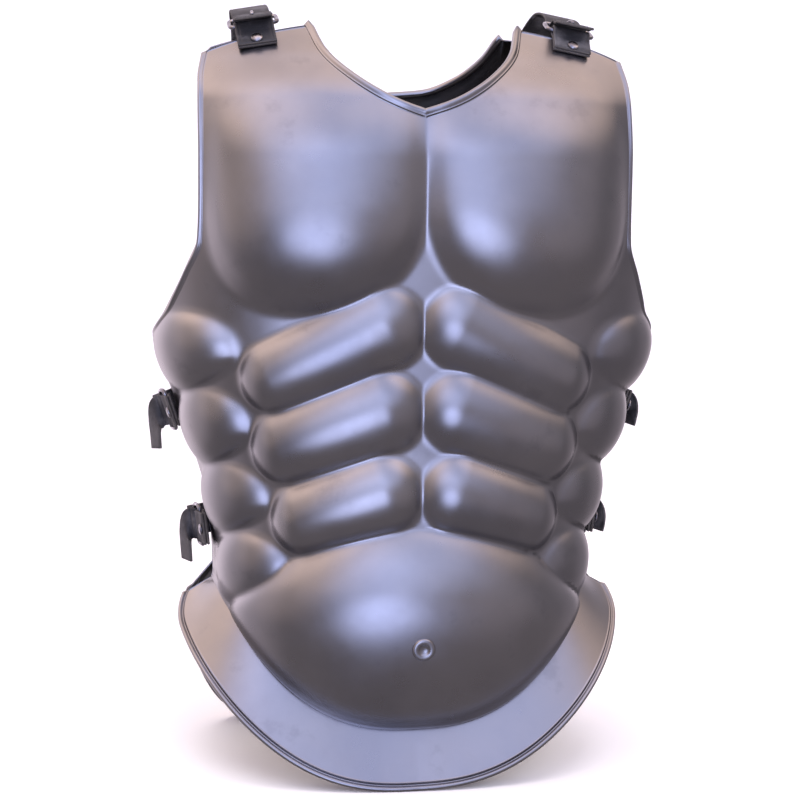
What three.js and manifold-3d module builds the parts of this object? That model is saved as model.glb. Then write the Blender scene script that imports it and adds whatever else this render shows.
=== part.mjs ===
// Muscle cuirass: an embossed steel breastplate and a plain back plate, joined by two shoulder
// straps and four side straps of leather, each fastened by a small wire buckle.
// Millimetres, +Z up, front towards -Y, seen from the front +X is on the right.
import * as THREE from 'three';
import Module from 'manifold-3d';

const wasm = await Module();
wasm.setup();

// ---------------------------------------------------------------- driving dimensions
const WALL = 1.4;               // sheet thickness of both plates
const EDGE_GAP = 8;             // girth left free between a plate's side edge and the side plane
const FRONT_CELLS = [19, 30, 2];  // cells per half girth, cells up the body, cells down the flange
const BACK_CELLS = [11, 19, 2];
const NECK_ROLL = 3.3;          // radius of the rolled edge round the neck
const ARM_ROLL = 2.2;           // radius of the rolled edge round the armholes
const RIM_ROLL = 2.6;           // radius of the rolled edge of the flange
const ROLL_LIFT = 0.4;          // how far the roll sits outside the middle of the sheet
const BUSH = 0.4;               // clearance between separate pieces
const SEAT = 0.8;               // clearance between a strap and the plate it lies on

// Horizontal sections of the torso: height, half width, depth, superellipse exponent.
const FRONT_SECTIONS = [
  [43, 143, 103, 2.25], [90, 143, 108, 2.25], [150, 143, 114, 2.2], [205, 149, 116, 2.2],
  [265, 168, 114, 2.3], [328, 189, 113, 2.4], [405, 200, 118, 2.4], [455, 202, 117, 2.4],
  [495, 202, 105, 2.4], [525, 200, 82, 2.3], [552, 198, 52, 2.2],
];
const BACK_SECTIONS = [
  [43, 142, 104, 2.25], [90, 142, 102, 2.25], [150, 142, 100, 2.2], [205, 148, 100, 2.2],
  [265, 167, 106, 2.3], [328, 188, 116, 2.4], [405, 199, 122, 2.4], [455, 201, 119, 2.4],
  [495, 201, 107, 2.4], [525, 199, 88, 2.3], [556, 197, 52, 2.2],
];

// ---------------------------------------------------------------- small mathematics
const clamp = (x, lo, hi) => Math.min(hi, Math.max(lo, x));
const mix = (a, b, t) => a + (b - a) * t;
const smooth = (x) => { const t = clamp(x, 0, 1); return t * t * (3 - 2 * t); };

// Monotone cubic through rows [x, y, ...]; gives column `col` at x.
function through(rows, x, col = 1) {
  const last = rows.length - 1;
  const slope = (i) => (rows[i + 1][col] - rows[i][col]) / (rows[i + 1][0] - rows[i][0]);
  const tangent = (i) => {
    if (i === 0) return slope(0);
    if (i === last) return slope(last - 1);
    const before = slope(i - 1);
    const after = slope(i);
    if (before * after <= 0) return 0;
    return 2 * before * after / (before + after);
  };
  let i = 0;
  while (i < last - 1 && x > rows[i + 1][0]) i += 1;
  const step = rows[i + 1][0] - rows[i][0];
  const t = clamp((x - rows[i][0]) / step, 0, 1);
  const from = rows[i][col] * (1 + 2 * t) * (1 - t) ** 2 + tangent(i) * step * t * (1 - t) ** 2;
  const to = rows[i + 1][col] * t * t * (3 - 2 * t) + tangent(i + 1) * step * t * t * (t - 1);
  return from + to;
}

// ---------------------------------------------------------------- the torso surface
const GIRTH_STEPS = 60;

// Point of a horizontal section at an angle from the centre line; side is -1 front, +1 back.
function sectionPoint(sections, side, angle, z) {
  const power = 2 / through(sections, z, 3);
  const x = through(sections, z, 1) * Math.sin(angle) ** power;
  const y = through(sections, z, 2) * Math.max(0, Math.cos(angle)) ** power;
  return [x, side * y];
}

// Quarter girth of a section, as a list of [girth so far, angle]; kept for each height.
const girthTables = new Map([[FRONT_SECTIONS, new Map()], [BACK_SECTIONS, new Map()]]);

function girthTable(sections, z) {
  const known = girthTables.get(sections);
  if (known.has(z)) return known.get(z);
  const table = [[0, 0]];
  known.set(z, table);
  let [x0, y0] = sectionPoint(sections, -1, 0, z);
  for (let i = 1; i <= GIRTH_STEPS; i += 1) {
    const angle = (Math.PI / 2) * (i / GIRTH_STEPS) ** 1.4;
    const [x, y] = sectionPoint(sections, -1, angle, z);
    table.push([table[i - 1][0] + Math.hypot(x - x0, y - y0), angle]);
    [x0, y0] = [x, y];
  }
  return table;
}

const quarterGirth = (sections, z) => girthTable(sections, z)[GIRTH_STEPS][0];

// Smooth torso surface: girth s from the centre line (negative to the left) and height z.
function torso(plate, s, z) {
  const table = girthTable(plate.sections, z);
  const reach = Math.abs(s);
  let i = 0;
  while (i < GIRTH_STEPS - 1 && reach > table[i + 1][0]) i += 1;
  const t = clamp((reach - table[i][0]) / (table[i + 1][0] - table[i][0]), 0, 1);
  const [x, y] = sectionPoint(plate.sections, plate.side, mix(table[i][1], table[i + 1][1], t), z);
  return new THREE.Vector3(s < 0 ? -x : x, y, z);
}

// Outward unit normal of the smooth torso, measured over a small step each way.
const NORMAL_STEP = 1.5;

function torsoNormal(plate, s, z) {
  const d = NORMAL_STEP;
  const along = torso(plate, s + d, z).sub(torso(plate, s - d, z));
  const up = torso(plate, s, z + d).sub(torso(plate, s, z - d));
  return along.cross(up).normalize().multiplyScalar(-plate.side);
}

// ---------------------------------------------------------------- embossed muscles
const LOBE_POWER = 0.9;         // the lower the power, the flatter the top of a lobe
const BULB_POWER = 0.8;
const PECTORAL_POWER = 0.6;
const dome = (d, power) => (d < 1 ? (1 - d * d) ** power : 0);

// Tapered pillow lying along a line from its inner to its outer end.
function pillow(s, z, p) {
  const run = [p.outer[0] - p.inner[0], p.outer[1] - p.inner[1]];
  const length2 = run[0] ** 2 + run[1] ** 2;
  const t = clamp(((s - p.inner[0]) * run[0] + (z - p.inner[1]) * run[1]) / length2, 0, 1);
  const off = Math.hypot(s - p.inner[0] - t * run[0], z - p.inner[1] - t * run[1]);
  return p.height * dome(off / mix(p.innerRadius, p.outerRadius, t), LOBE_POWER);
}

// Oval dome that reaches farther down at its outer end than at its inner one.
function oval(s, z, o) {
  const across = (s - o.at[0]) / o.half[0];
  const up = (z - o.at[1]) / o.half[1];
  const droop = up < 0 ? 1 + DROOP * clamp(across, -1, 1) : 1;
  return o.height * dome(Math.hypot(across, up / droop), BULB_POWER);
}

const ABDOMEN_ROWS = [
  { inner: [28, 335], outer: [106, 299], innerRadius: 30.5, outerRadius: 27, height: 13 },
  { inner: [28, 275], outer: [99, 249], innerRadius: 30.5, outerRadius: 27.5, height: 13 },
  { inner: [28, 216], outer: [85.5, 197], innerRadius: 29.5, outerRadius: 26.5, height: 13 },
];
const SIDE_BULBS = [
  { at: [179, 315], half: [46, 30], height: 12 },
  { at: [166, 260], half: [42, 30], height: 12 },
  { at: [154, 207.5], half: [43, 28], height: 12 },
  { at: [137, 157], half: [41, 27.5], height: 11 },
];
const DROOP = 0.45;             // how much farther down a side bulb reaches at its outer end
const PECTORAL = { at: [79, 425], half: [76, 77], height: 24, fade: [370, 545] };
const BELLY = { height: 25, top: 191, topFall: 0.0028, half: 152 };
const NAVEL = { z: 111, radius: 8.4, height: 2.2, dimple: 3.9 };

// Fullest near its foot, fading towards the collar; its sides are straight above the middle.
function pectoral(s, z) {
  const [fadeFrom, fadeTo] = PECTORAL.fade;
  const fade = 1 - 0.9 * smooth((z - fadeFrom) / (fadeTo - fadeFrom));
  const across = Math.abs(s - PECTORAL.at[0]) / PECTORAL.half[0];
  const down = Math.max(PECTORAL.at[1] - z, 0) / PECTORAL.half[1];
  const power = 2 + 0.5 * smooth(0.5 + (s - PECTORAL.at[0]) / 80);
  const reach = (across ** power + down ** power) ** (1 / power);
  return PECTORAL.height * fade * dome(reach, PECTORAL_POWER);
}

function belly(s, z) {
  const bottom = rootHeight(FRONT, s);
  const top = BELLY.top - BELLY.topFall * s * s;
  const t = (z - bottom) / (top - bottom);
  if (t <= 0 || t >= 1 || s >= BELLY.half) return 0;
  return BELLY.height * (1 - (s / BELLY.half) ** 2) ** 0.6 * Math.sin(Math.PI * t ** 1.1) ** 0.5;
}

function frontRelief(s, z) {
  const lobes = [
    ...ABDOMEN_ROWS.map((row) => pillow(s, z, row)),
    ...SIDE_BULBS.map((bulb) => oval(s, z, bulb)),
    pectoral(s, z),
    belly(s, z),
  ];
  return Math.max(...lobes);
}

// Back: a shallow furrow down the spine and two low shoulder blades.
const FURROW = { depth: 5, half: 16, bottom: 150, top: 500 };
const BLADE = { at: [82, 425], half: [62, 85], height: 7 };

function backRelief(s, z) {
  const window = smooth((z - FURROW.bottom) / 60) * smooth((FURROW.top - z) / 60);
  const furrow = -FURROW.depth * Math.exp(-((s / FURROW.half) ** 2)) * window;
  const d2 = ((s - BLADE.at[0]) / BLADE.half[0]) ** 2 + ((z - BLADE.at[1]) / BLADE.half[1]) ** 2;
  return furrow + BLADE.height * Math.max(0, 1 - d2) ** 2;
}

// ---------------------------------------------------------------- plate outlines
// Outlines are given for one half as [share of the edge, girth, height].
const FRONT = {
  side: -1,
  sections: FRONT_SECTIONS,
  relief: frontRelief,
  neck: [
    [0, 0, 484.5], [0.19, 18, 489.5], [0.4, 36.5, 498], [0.62, 54, 510], [0.86, 72, 529.5],
    [1, 79.5, 549],
  ],
  shoulderEnd: [153, 530],
  armhole: [
    [0, 238, 316], [0.16, 207, 330], [0.26, 188, 350], [0.35, 174, 371], [0.45, 162, 395],
    [0.57, 160.5, 426], [0.74, 160, 468], [0.91, 158, 510], [1, 153, 530],
  ],
  root: { low: 42, rise: 100, power: 2.6 },     // line where the flange starts
  flange: { flare: [19.5, 25], drop: 35.44, endDrop: 14, endPower: 9 },
  lean: 0.035,
};
const BACK = {
  side: 1,
  sections: BACK_SECTIONS,
  relief: backRelief,
  neck: [[0, 0, 506], [0.3, 32, 509], [0.62, 61, 521], [0.85, 79, 537], [1, 87, 552]],
  shoulderEnd: [143, 541],
  armhole: [
    [0, 240, 316], [0.16, 198, 331], [0.26, 177, 350], [0.35, 162, 371], [0.45, 150, 395],
    [0.57, 147.5, 426], [0.74, 147, 470], [0.91, 146, 515], [1, 143, 541],
  ],
  root: { low: 42, rise: 122.5, power: 3.2, flat: 0.55 },
  flange: { flare: [19.5, 21], drop: 35.7, endDrop: 25, endPower: 9 },
  lean: 0,
};

function rootHeight(plate, s) {
  const { low, rise, power, flat = 0 } = plate.root;
  const share = clamp(Math.abs(torso(plate, s, 100).x) / 144.5, 0, 1);
  return low + rise * Math.max(0, (share - flat) / (1 - flat)) ** power;
}

const sideGirth = (plate, z) => quarterGirth(plate.sections, z) - EDGE_GAP;

// Girth and height of the four edges of the half plate; shares run from 0 to 1.
const NECK_SHARE = 0.5;         // part of the top edge that is neck, the rest is shoulder
const SIDE_SHARE = 0.42;        // part of the side edge that is below the armhole
const SHOULDER_CROWN = 2;       // rise of the shoulder edge above a straight line

function bottomEdge(plate, u) {
  const s = u * sideGirth(plate, plate.root.low + plate.root.rise);
  return [s, rootHeight(plate, s)];
}

function topEdge(plate, u) {
  if (u <= NECK_SHARE) {
    return [through(plate.neck, u / NECK_SHARE, 1), through(plate.neck, u / NECK_SHARE, 2)];
  }
  const t = (u - NECK_SHARE) / (1 - NECK_SHARE);
  const start = plate.neck[plate.neck.length - 1];
  const crown = SHOULDER_CROWN * Math.sin(Math.PI * t);
  return [mix(start[1], plate.shoulderEnd[0], t), mix(start[2], plate.shoulderEnd[1], t) + crown];
}

function sideEdge(plate, v) {
  const low = bottomEdge(plate, 1)[1];
  const pit = plate.armhole[0];
  if (v <= SIDE_SHARE) {
    const z = mix(low, pit[2], v / SIDE_SHARE);
    return [mix(sideGirth(plate, z), pit[1], smooth(v / SIDE_SHARE) ** 6), z];
  }
  const t = (v - SIDE_SHARE) / (1 - SIDE_SHARE);
  return [through(plate.armhole, t, 1), through(plate.armhole, t, 2)];
}

// Blend of the four edges (a Coons patch): girth and height at u across and v up.
function patch(plate, u, v) {
  const low = bottomEdge(plate, u);
  const high = topEdge(plate, u);
  const outer = sideEdge(plate, v);
  const corners = [bottomEdge(plate, 0), bottomEdge(plate, 1), topEdge(plate, 0), topEdge(plate, 1)];
  const centre = [0, mix(corners[0][1], corners[2][1], v)];
  return [0, 1].map((k) => {
    const ruled = mix(low[k], high[k], v) + mix(centre[k], outer[k], u);
    return ruled - mix(mix(corners[0][k], corners[1][k], u), mix(corners[2][k], corners[3][k], u), v);
  });
}

const FLANGE_CORNER = 18;       // girth over which the flange's ends are rounded off
const FLANGE_TIP = 0.7;         // share of the flange's reach left at its very ends

// Flange: leaves the root line, falling and flaring out to the rim; w is the share of the way.
function flangePoint(plate, s, w) {
  const z = rootHeight(plate, s);
  const out = torsoNormal(plate, s, z).setZ(0).normalize();
  const share = clamp(Math.abs(s) / sideGirth(plate, z), 0, 1);
  const { flare, drop, endDrop, endPower } = plate.flange;
  const fall = mix(drop, endDrop, share ** endPower);
  const past = clamp((Math.abs(s) - sideGirth(plate, z)) / FLANGE_CORNER + 1, 0, 1);
  const short = w * Math.sqrt(1 - (1 - FLANGE_TIP ** 2) * past ** 2);
  const base = torso(plate, s, z).addScaledVector(out, short * mix(flare[0], flare[1], share));
  base.z -= short * fall;
  return base;
}

const LEAN_TOP = 150;           // height above which nothing leans

// Tips the hand-formed lower edge of a plate by its slope `lean`, lower at the left.
function leaning(plate, point) {
  point.z += plate.lean * point.x * smooth((LEAN_TOP - point.z) / LEAN_TOP);
  return point;
}

// Outer face of a plate as rows of points, from the rim of the flange up to the neck.
function outerFace(plate, [across, up, flangeRows]) {
  const rows = [];
  for (let j = -flangeRows; j <= up; j += 1) {
    const row = [];
    for (let i = -across; i <= across; i += 1) {
      const u = Math.abs(i) / across;
      const hand = Math.sign(i) || 1;
      if (j <= 0) {
        const point = flangePoint(plate, hand * bottomEdge(plate, u)[0], -j / flangeRows);
        row.push(leaning(plate, point));
      } else {
        const [s, z] = patch(plate, u, j / up);
        const lift = plate.relief(s, z);
        const normal = torsoNormal(plate, hand * s, z);
        row.push(leaning(plate, torso(plate, hand * s, z).addScaledVector(normal, lift)));
      }
    }
    rows.push(row);
  }
  return rows;
}

// ---------------------------------------------------------------- sheet from a face
// Cross-section of the edge: angles round a roll, blended to a plain round edge where roll = 0.
const ROLL_ANGLES = [150, 75, 0, -75, -150];
const PLAIN_ANGLES = [60, 30, 0, -30, -60];

function edgePoints(mid, outward, normal, roll) {
  return ROLL_ANGLES.map((degrees, k) => {
    const bead = THREE.MathUtils.degToRad(degrees);
    const plain = THREE.MathUtils.degToRad(PLAIN_ANGLES[k]);
    const round = mid.clone().addScaledVector(outward, (WALL / 2) * Math.cos(plain))
      .addScaledVector(normal, (WALL / 2) * Math.sin(plain));
    if (roll === 0) return round;
    return mid.clone().addScaledVector(outward, roll * (0.9 + Math.cos(bead)))
      .addScaledVector(normal, ROLL_LIFT + roll * Math.sin(bead));
  });
}

function vertexNormals(rows, side) {
  const pick = (j, i) => rows[clamp(j, 0, rows.length - 1)][clamp(i, 0, rows[0].length - 1)];
  return rows.map((row, j) => row.map((point, i) => {
    const along = pick(j, i + 1).clone().sub(pick(j, i - 1));
    const up = pick(j + 1, i).clone().sub(pick(j - 1, i));
    return along.cross(up).normalize().multiplyScalar(-side);
  }));
}

function sheet(rows, side, rollAt) {
  const normals = vertexNormals(rows, side);
  const high = rows.length;
  const wide = rows[0].length;
  const points = [];
  const add = (p) => points.push(p) - 1;
  const outer = rows.map((row) => row.map((p) => add(p)));
  const inward = (p, j, i) => p.clone().addScaledVector(normals[j][i], -WALL);
  const inner = rows.map((row, j) => row.map((p, i) => add(inward(p, j, i))));
  const faces = [];
  const quad = (a, b, c, d) => faces.push([a, b, c], [a, c, d]);
  for (let j = 0; j + 1 < high; j += 1) {
    for (let i = 0; i + 1 < wide; i += 1) {
      // the diagonal is mirrored about the centre line
      const near = i < (wide - 1) / 2 ? [[j, i], [j, i + 1], [j + 1, i + 1], [j + 1, i]]
        : [[j, i + 1], [j + 1, i + 1], [j + 1, i], [j, i]];
      const [a, b, c, d] = near.map(([row, col]) => outer[row][col]);
      const [e, f, g, h] = near.map(([row, col]) => inner[row][col]);
      quad(a, b, c, d);
      faces.push([e, g, f], [e, h, g]);
    }
  }
  // once round the edge: rim, right side and armhole, shoulders and neck, left side
  const loop = [];
  for (let i = 0; i < wide; i += 1) loop.push([0, i]);
  for (let j = 1; j < high; j += 1) loop.push([j, wide - 1]);
  for (let i = wide - 2; i >= 0; i -= 1) loop.push([high - 1, i]);
  for (let j = high - 2; j > 0; j -= 1) loop.push([j, 0]);
  const rings = loop.map(([j, i], k) => {
    const [jb, ib] = loop[(k + loop.length - 1) % loop.length];
    const [ja, ia] = loop[(k + 1) % loop.length];
    const normal = normals[j][i];
    const before = rows[j][i].clone().sub(rows[jb][ib]).normalize();
    const after = rows[ja][ia].clone().sub(rows[j][i]).normalize();
    const outward = before.add(after).normalize().cross(normal).multiplyScalar(-side).normalize();
    const mid = rows[j][i].clone().addScaledVector(normal, -WALL / 2);
    return [outer[j][i], ...edgePoints(mid, outward, normal, rollAt(j, i)).map(add), inner[j][i]];
  });
  rings.forEach((ring, k) => {
    const next = rings[(k + 1) % rings.length];
    for (let m = 0; m + 1 < ring.length; m += 1) quad(ring[m], ring[m + 1], next[m + 1], next[m]);
  });
  return solidFrom(points, faces);
}

// Closed body from corner points and triangles, turned to face outwards.
function solidFrom(points, faces) {
  const corner = ([a, b, c]) => points[a].dot(points[b].clone().cross(points[c]));
  const flip = faces.reduce((volume, face) => volume + corner(face), 0) < 0;
  const numbers = points.flatMap((p) => [p.x, p.y, p.z]);
  const geometry = new THREE.BufferGeometry();
  geometry.setAttribute('position', new THREE.Float32BufferAttribute(numbers, 3));
  geometry.setIndex(faces.flatMap(([a, b, c]) => (flip ? [a, c, b] : [a, b, c])));
  return geometry;
}

// Rolls run round the neck, the armholes and the rim of the flange; sides and shoulders are plain.
function rollMap([across, up, flangeRows], rows) {
  const neckEnd = Math.round(NECK_SHARE * across);
  const pit = flangeRows + Math.round(SIDE_SHARE * up);
  return (j, i) => {
    const reach = Math.abs(i - across);
    if (j === 0) return reach === across ? 0 : RIM_ROLL;
    if (j === rows - 1) return reach <= neckEnd ? NECK_ROLL : 0;
    return j > pit ? ARM_ROLL : 0;
  };
}

function plateGeometry(plate, cells) {
  const rows = outerFace(plate, cells);
  return sheet(rows, plate.side, rollMap(cells, rows.length));
}

// Navel: a low round boss with a dimple, standing on the belly.
function navelBoss() {
  const { z, radius, height, dimple } = NAVEL;
  const sunk = WALL * 0.6;
  const profile = [[0, -sunk], [radius, -sunk], [radius, height * 0.4], [radius * 0.8, height],
    [dimple, height], [dimple * 0.7, height * 0.4], [0, height * 0.4]];
  const boss = new THREE.LatheGeometry(profile.map(([x, y]) => new THREE.Vector2(x, y)), 16);
  const normal = torsoNormal(FRONT, 0, z);
  const spin = new THREE.Quaternion().setFromUnitVectors(new THREE.Vector3(0, 1, 0), normal);
  const seat = torso(FRONT, 0, z).addScaledVector(normal, frontRelief(0, z));
  return boss.applyQuaternion(spin).translate(seat.x, seat.y, seat.z);
}

function toManifold(geometry) {
  const at = geometry.attributes.position;
  const keys = new Map();
  const corners = [];
  const index = [];
  const order = geometry.index ? geometry.index.array : [...Array(at.count).keys()];
  order.forEach((i) => {
    const key = [at.getX(i), at.getY(i), at.getZ(i)].map((v) => Math.round(v * 1e4)).join();
    if (!keys.has(key)) {
      keys.set(key, corners.length / 3);
      corners.push(at.getX(i), at.getY(i), at.getZ(i));
    }
    index.push(keys.get(key));
  });
  const kept = [];
  for (let k = 0; k < index.length; k += 3) {
    const [a, b, c] = index.slice(k, k + 3);
    if (a !== b && b !== c && c !== a) kept.push(a, b, c);
  }
  const mesh = { numProp: 3, vertProperties: new Float32Array(corners), triVerts: new Uint32Array(kept) };
  return new wasm.Manifold(new wasm.Mesh(mesh));
}

function united(...geometries) {
  const whole = geometries.map(toManifold).reduce((sum, next) => sum.add(next)).getMesh();
  const geometry = new THREE.BufferGeometry();
  geometry.setAttribute('position', new THREE.Float32BufferAttribute(whole.vertProperties, 3));
  geometry.setIndex([...whole.triVerts]);
  return geometry;
}

// ---------------------------------------------------------------- straps and buckles
const LEATHER_T = 2;            // strap thickness
const SHOULDER_WIDTH = 28;      // strap widths
const SIDE_WIDTH = 24;
const BAR = 1.5;                // radius of the buckle wire
const PRONG = 1.1;              // radius of the buckle prong
const FRAME_LENGTH = 18;        // bar to bar
const FRAME_OVERHANG = 3.2;     // bar centre line beyond the strap's edge, each side
const RIVET = { radius: 4.2, height: 1.7 };
const LAYER = LEATHER_T + BUSH; // distance between the middles of two layers of strap
const BAR_TURN = BAR + BUSH + LEATHER_T / 2; // middle of a strap bent round a bar

// A working frame: l runs along the strap from front to back plate, n outwards, w across.
function workFrame(origin, along, outward) {
  const l = along.clone().normalize();
  const n = outward.clone().addScaledVector(l, -outward.dot(l)).normalize();
  const w = new THREE.Vector3().crossVectors(n, l);
  const at = (pl, pn, pw = 0) => origin.clone().addScaledVector(l, pl).addScaledVector(n, pn)
    .addScaledVector(w, pw);
  return { origin, l, n, w, at };
}

// Flat band of constant width along a spine of points p, each with its own direction w across.
function band(spine, width) {
  const points = [];
  const faces = [];
  spine.forEach(({ p, w }, i) => {
    const before = spine[Math.max(0, i - 1)].p;
    const after = spine[Math.min(spine.length - 1, i + 1)].p;
    const up = w.clone().cross(after.clone().sub(before)).normalize();
    [[1, 1], [-1, 1], [-1, -1], [1, -1]].forEach(([across, face]) => {
      points.push(p.clone().addScaledVector(up, (face * LEATHER_T) / 2)
        .addScaledVector(w, (across * width) / 2));
    });
  });
  const quad = (a, b, c, d) => faces.push([a, b, c], [a, c, d]);
  for (let i = 0; i + 1 < spine.length; i += 1) {
    for (let k = 0; k < 4; k += 1) {
      const next = (k + 1) % 4;
      quad(4 * i + k, 4 * i + next, 4 * i + 4 + next, 4 * i + 4 + k);
    }
  }
  const end = 4 * (spine.length - 1);
  quad(3, 2, 1, 0);
  quad(end, end + 1, end + 2, end + 3);
  return solidFrom(points, faces);
}

// Spine of a band from spots [l, n, shift across] of a work frame.
function inPlane(frame, line) {
  return line.map(([l, n, w = 0]) => ({ p: frame.at(l, n, w), w: frame.w.clone() }));
}

// Part of a circle in the l-n plane, as points of a band's line.
function bend(centre, radius, from, to, steps) {
  return Array.from({ length: steps + 1 }, (_, i) => {
    const angle = THREE.MathUtils.degToRad(mix(from, to, i / steps));
    return [centre[0] + radius * Math.cos(angle), centre[1] + radius * Math.sin(angle)];
  });
}

// Smooth line through a few points of [l, n, shift].
function flow(points, steps) {
  const curve = new THREE.CatmullRomCurve3(points.map(([l, n, w = 0]) => new THREE.Vector3(l, n, w)));
  return curve.getPoints(steps).map((p) => [p.x, p.y, p.z]);
}

// Round wire along a path of points, closed or with flat ends.
const WIRE_SIDES = 6;

function wire(path, radius, closed) {
  const count = path.length;
  const centre = path.reduce((sum, p) => sum.add(p), new THREE.Vector3()).divideScalar(count);
  const axis = new THREE.Vector3().crossVectors(path[0].clone().sub(centre),
    path[Math.floor(count / 3)].clone().sub(centre)).normalize();
  const points = [];
  const faces = [];
  path.forEach((p, i) => {
    const before = closed ? path[(i + count - 1) % count] : path[Math.max(0, i - 1)];
    const after = closed ? path[(i + 1) % count] : path[Math.min(count - 1, i + 1)];
    const run = after.clone().sub(before).normalize();
    const out = run.clone().cross(axis).normalize();
    const up = out.clone().cross(run);
    for (let k = 0; k < WIRE_SIDES; k += 1) {
      const angle = (2 * Math.PI * (k + 0.5)) / WIRE_SIDES;
      points.push(p.clone().addScaledVector(out, radius * Math.cos(angle))
        .addScaledVector(up, radius * Math.sin(angle)));
    }
  });
  for (let i = 0; i < (closed ? count : count - 1); i += 1) {
    for (let k = 0; k < WIRE_SIDES; k += 1) {
      const a = WIRE_SIDES * i + k;
      const b = WIRE_SIDES * i + ((k + 1) % WIRE_SIDES);
      const c = WIRE_SIDES * ((i + 1) % count) + ((k + 1) % WIRE_SIDES);
      const d = WIRE_SIDES * ((i + 1) % count) + k;
      faces.push([a, b, c], [a, c, d]);
    }
  }
  if (!closed) {
    const last = WIRE_SIDES * (count - 1);
    for (let k = 1; k + 1 < WIRE_SIDES; k += 1) faces.push([0, k + 1, k], [last, last + k, last + k + 1]);
  }
  return solidFrom(points, faces);
}

// Buckle frame: a rounded rectangle of wire with its bars across the strap.
const FRAME_CORNER = 4;

function frameWire(frame, barA, barB, width) {
  const half = width / 2 + FRAME_OVERHANG;
  const run = [barB[0] - barA[0], barB[1] - barA[1]];
  const length = Math.hypot(run[0], run[1]);
  const corners = [[length, 1, 0], [length, -1, 270], [0, -1, 180], [0, 1, 90]];
  const path = corners.flatMap(([along, hand, start]) => [0, 45, 90].map((turn) => {
    const angle = THREE.MathUtils.degToRad(start + 90 - turn);
    const inset = along === 0 ? FRAME_CORNER : length - FRAME_CORNER;
    const d = (inset + FRAME_CORNER * Math.cos(angle)) / length;
    const across = hand * (half - FRAME_CORNER) + FRAME_CORNER * Math.sin(angle);
    return frame.at(barA[0] + run[0] * d, barA[1] + run[1] * d, across);
  }));
  return wire(path, BAR, true);
}

function rivetHead(seat, out) {
  const { radius, height } = RIVET;
  const profile = [[0, 0], [radius, 0], [radius * 0.8, height * 0.65], [0, height]];
  const lathe = new THREE.LatheGeometry(profile.map(([x, y]) => new THREE.Vector2(x, y)), 10);
  const spin = new THREE.Quaternion().setFromUnitVectors(new THREE.Vector3(0, 1, 0), out);
  return lathe.applyQuaternion(spin).translate(seat.x, seat.y, seat.z);
}

// Where a point of space lies in a work frame, as [l, n].
function inFrame(frame, p) {
  const offset = p.clone().sub(frame.origin);
  return [offset.dot(frame.l), offset.dot(frame.n)];
}

// Line of a strap lying on a plate, `layer` layers up, over girths and heights [s, z].
function lying(frame, plate, spots, layer) {
  const lift = SEAT + LEATHER_T / 2 + layer * LAYER;
  return spots.map(([s, z]) => {
    const normal = torsoNormal(plate, s, z);
    const raised = lift + plate.relief(Math.abs(s), z);
    const w = normal.clone().cross(frame.l).normalize();
    return { p: torso(plate, s, z).addScaledVector(normal, raised), w };
  });
}

const flat = (frame, spine) => spine.map(({ p }) => inFrame(frame, p));

// ---------------------------------------------------------------- assembly
const object = new THREE.Group();
object.name = 'muscle_cuirass';
const STEEL = new THREE.MeshStandardMaterial({ color: 0x55555a, metalness: 0.9, roughness: 0.4 });
const LEATHER = new THREE.MeshStandardMaterial({ color: 0x17171a, roughness: 0.8 });

// Moves the work origin to the middle of the bottom of the whole object.
const CENTRE_Y = 5.48;
const FLOOR_Z = -1.82;

function addPiece(name, geometry, material) {
  const mesh = new THREE.Mesh(geometry, material);
  mesh.name = name;
  mesh.position.set(0, CENTRE_Y, FLOOR_Z);
  object.add(mesh);
}

const unit = ([x, y]) => [x / Math.hypot(x, y), y / Math.hypot(x, y)];
const go = ([x, y], [dx, dy], d) => [x + dx * d, y + dy * d];
const halfway = (a, b) => [(a[0] + b[0]) / 2, (a[1] + b[1]) / 2];

// Leather tab riveted on the front plate, doubled round the first bar of the buckle.
function chape(frame, spots, reach, layer = 0) {
  const lower = flat(frame, lying(frame, FRONT, spots, layer));
  const upper = flat(frame, lying(frame, FRONT, spots, layer + 1));
  const last = spots.length - 1;
  const along = unit([lower[last][0] - lower[last - 1][0], lower[last][1] - lower[last - 1][1]]);
  const out = [-along[1], along[0]];
  const middle = [(lower[last][0] + upper[last][0]) / 2, (lower[last][1] + upper[last][1]) / 2];
  const bar = go(middle, along, reach);
  const slant = THREE.MathUtils.radToDeg(Math.atan2(along[1], along[0]));
  const line = [...lower, ...bend(bar, BAR_TURN, slant - 90, slant + 90, 5), ...[...upper].reverse()];
  return { line, bar, rivet: [upper[0], upper[1]] };
}

// Rivet head on the outer face of a band, midway between two spots of its spine.
function rivetOn(name, [from, to]) {
  const out = to.p.clone().sub(from.p).cross(from.w).normalize();
  const seat = from.p.clone().lerp(to.p, 0.5).addScaledVector(out, LEATHER_T / 2 + 2 * BUSH);
  addPiece(name, rivetHead(seat, out), STEEL);
}

// Shoulder strap: rises from the back plate, through the buckle, its end lying forwards.
const SHOULDER = {
  front: 116,                   // girth of the strap's middle on the front plate
  back: 112,
  tab: [-10, -5, -0.5],         // heights of the chape's spots from the shoulder edge
  anchor: [-22, -9, 0],         // the same for the strap on the back plate
  end: [[-5, 0.6], [-13, 0.2]], // free end, from above the first bar: forwards and upwards
  reach: 8,                     // from the front plate's edge to the middle of the first bar
  tilt: 16,                     // slope of the buckle, in degrees
  arch: [[0.62, 19], [0.36, 20], [0.14, 16]], // share of the way to the back plate, height
  slack: 0.3,                   // room between the strap and the bars
};

function shoulderEdgeHeight(plate, s) {
  const start = plate.neck[plate.neck.length - 1];
  const t = (s - start[1]) / (plate.shoulderEnd[0] - start[1]);
  return mix(start[2], plate.shoulderEnd[1], t) + SHOULDER_CROWN * Math.sin(Math.PI * t);
}

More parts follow.
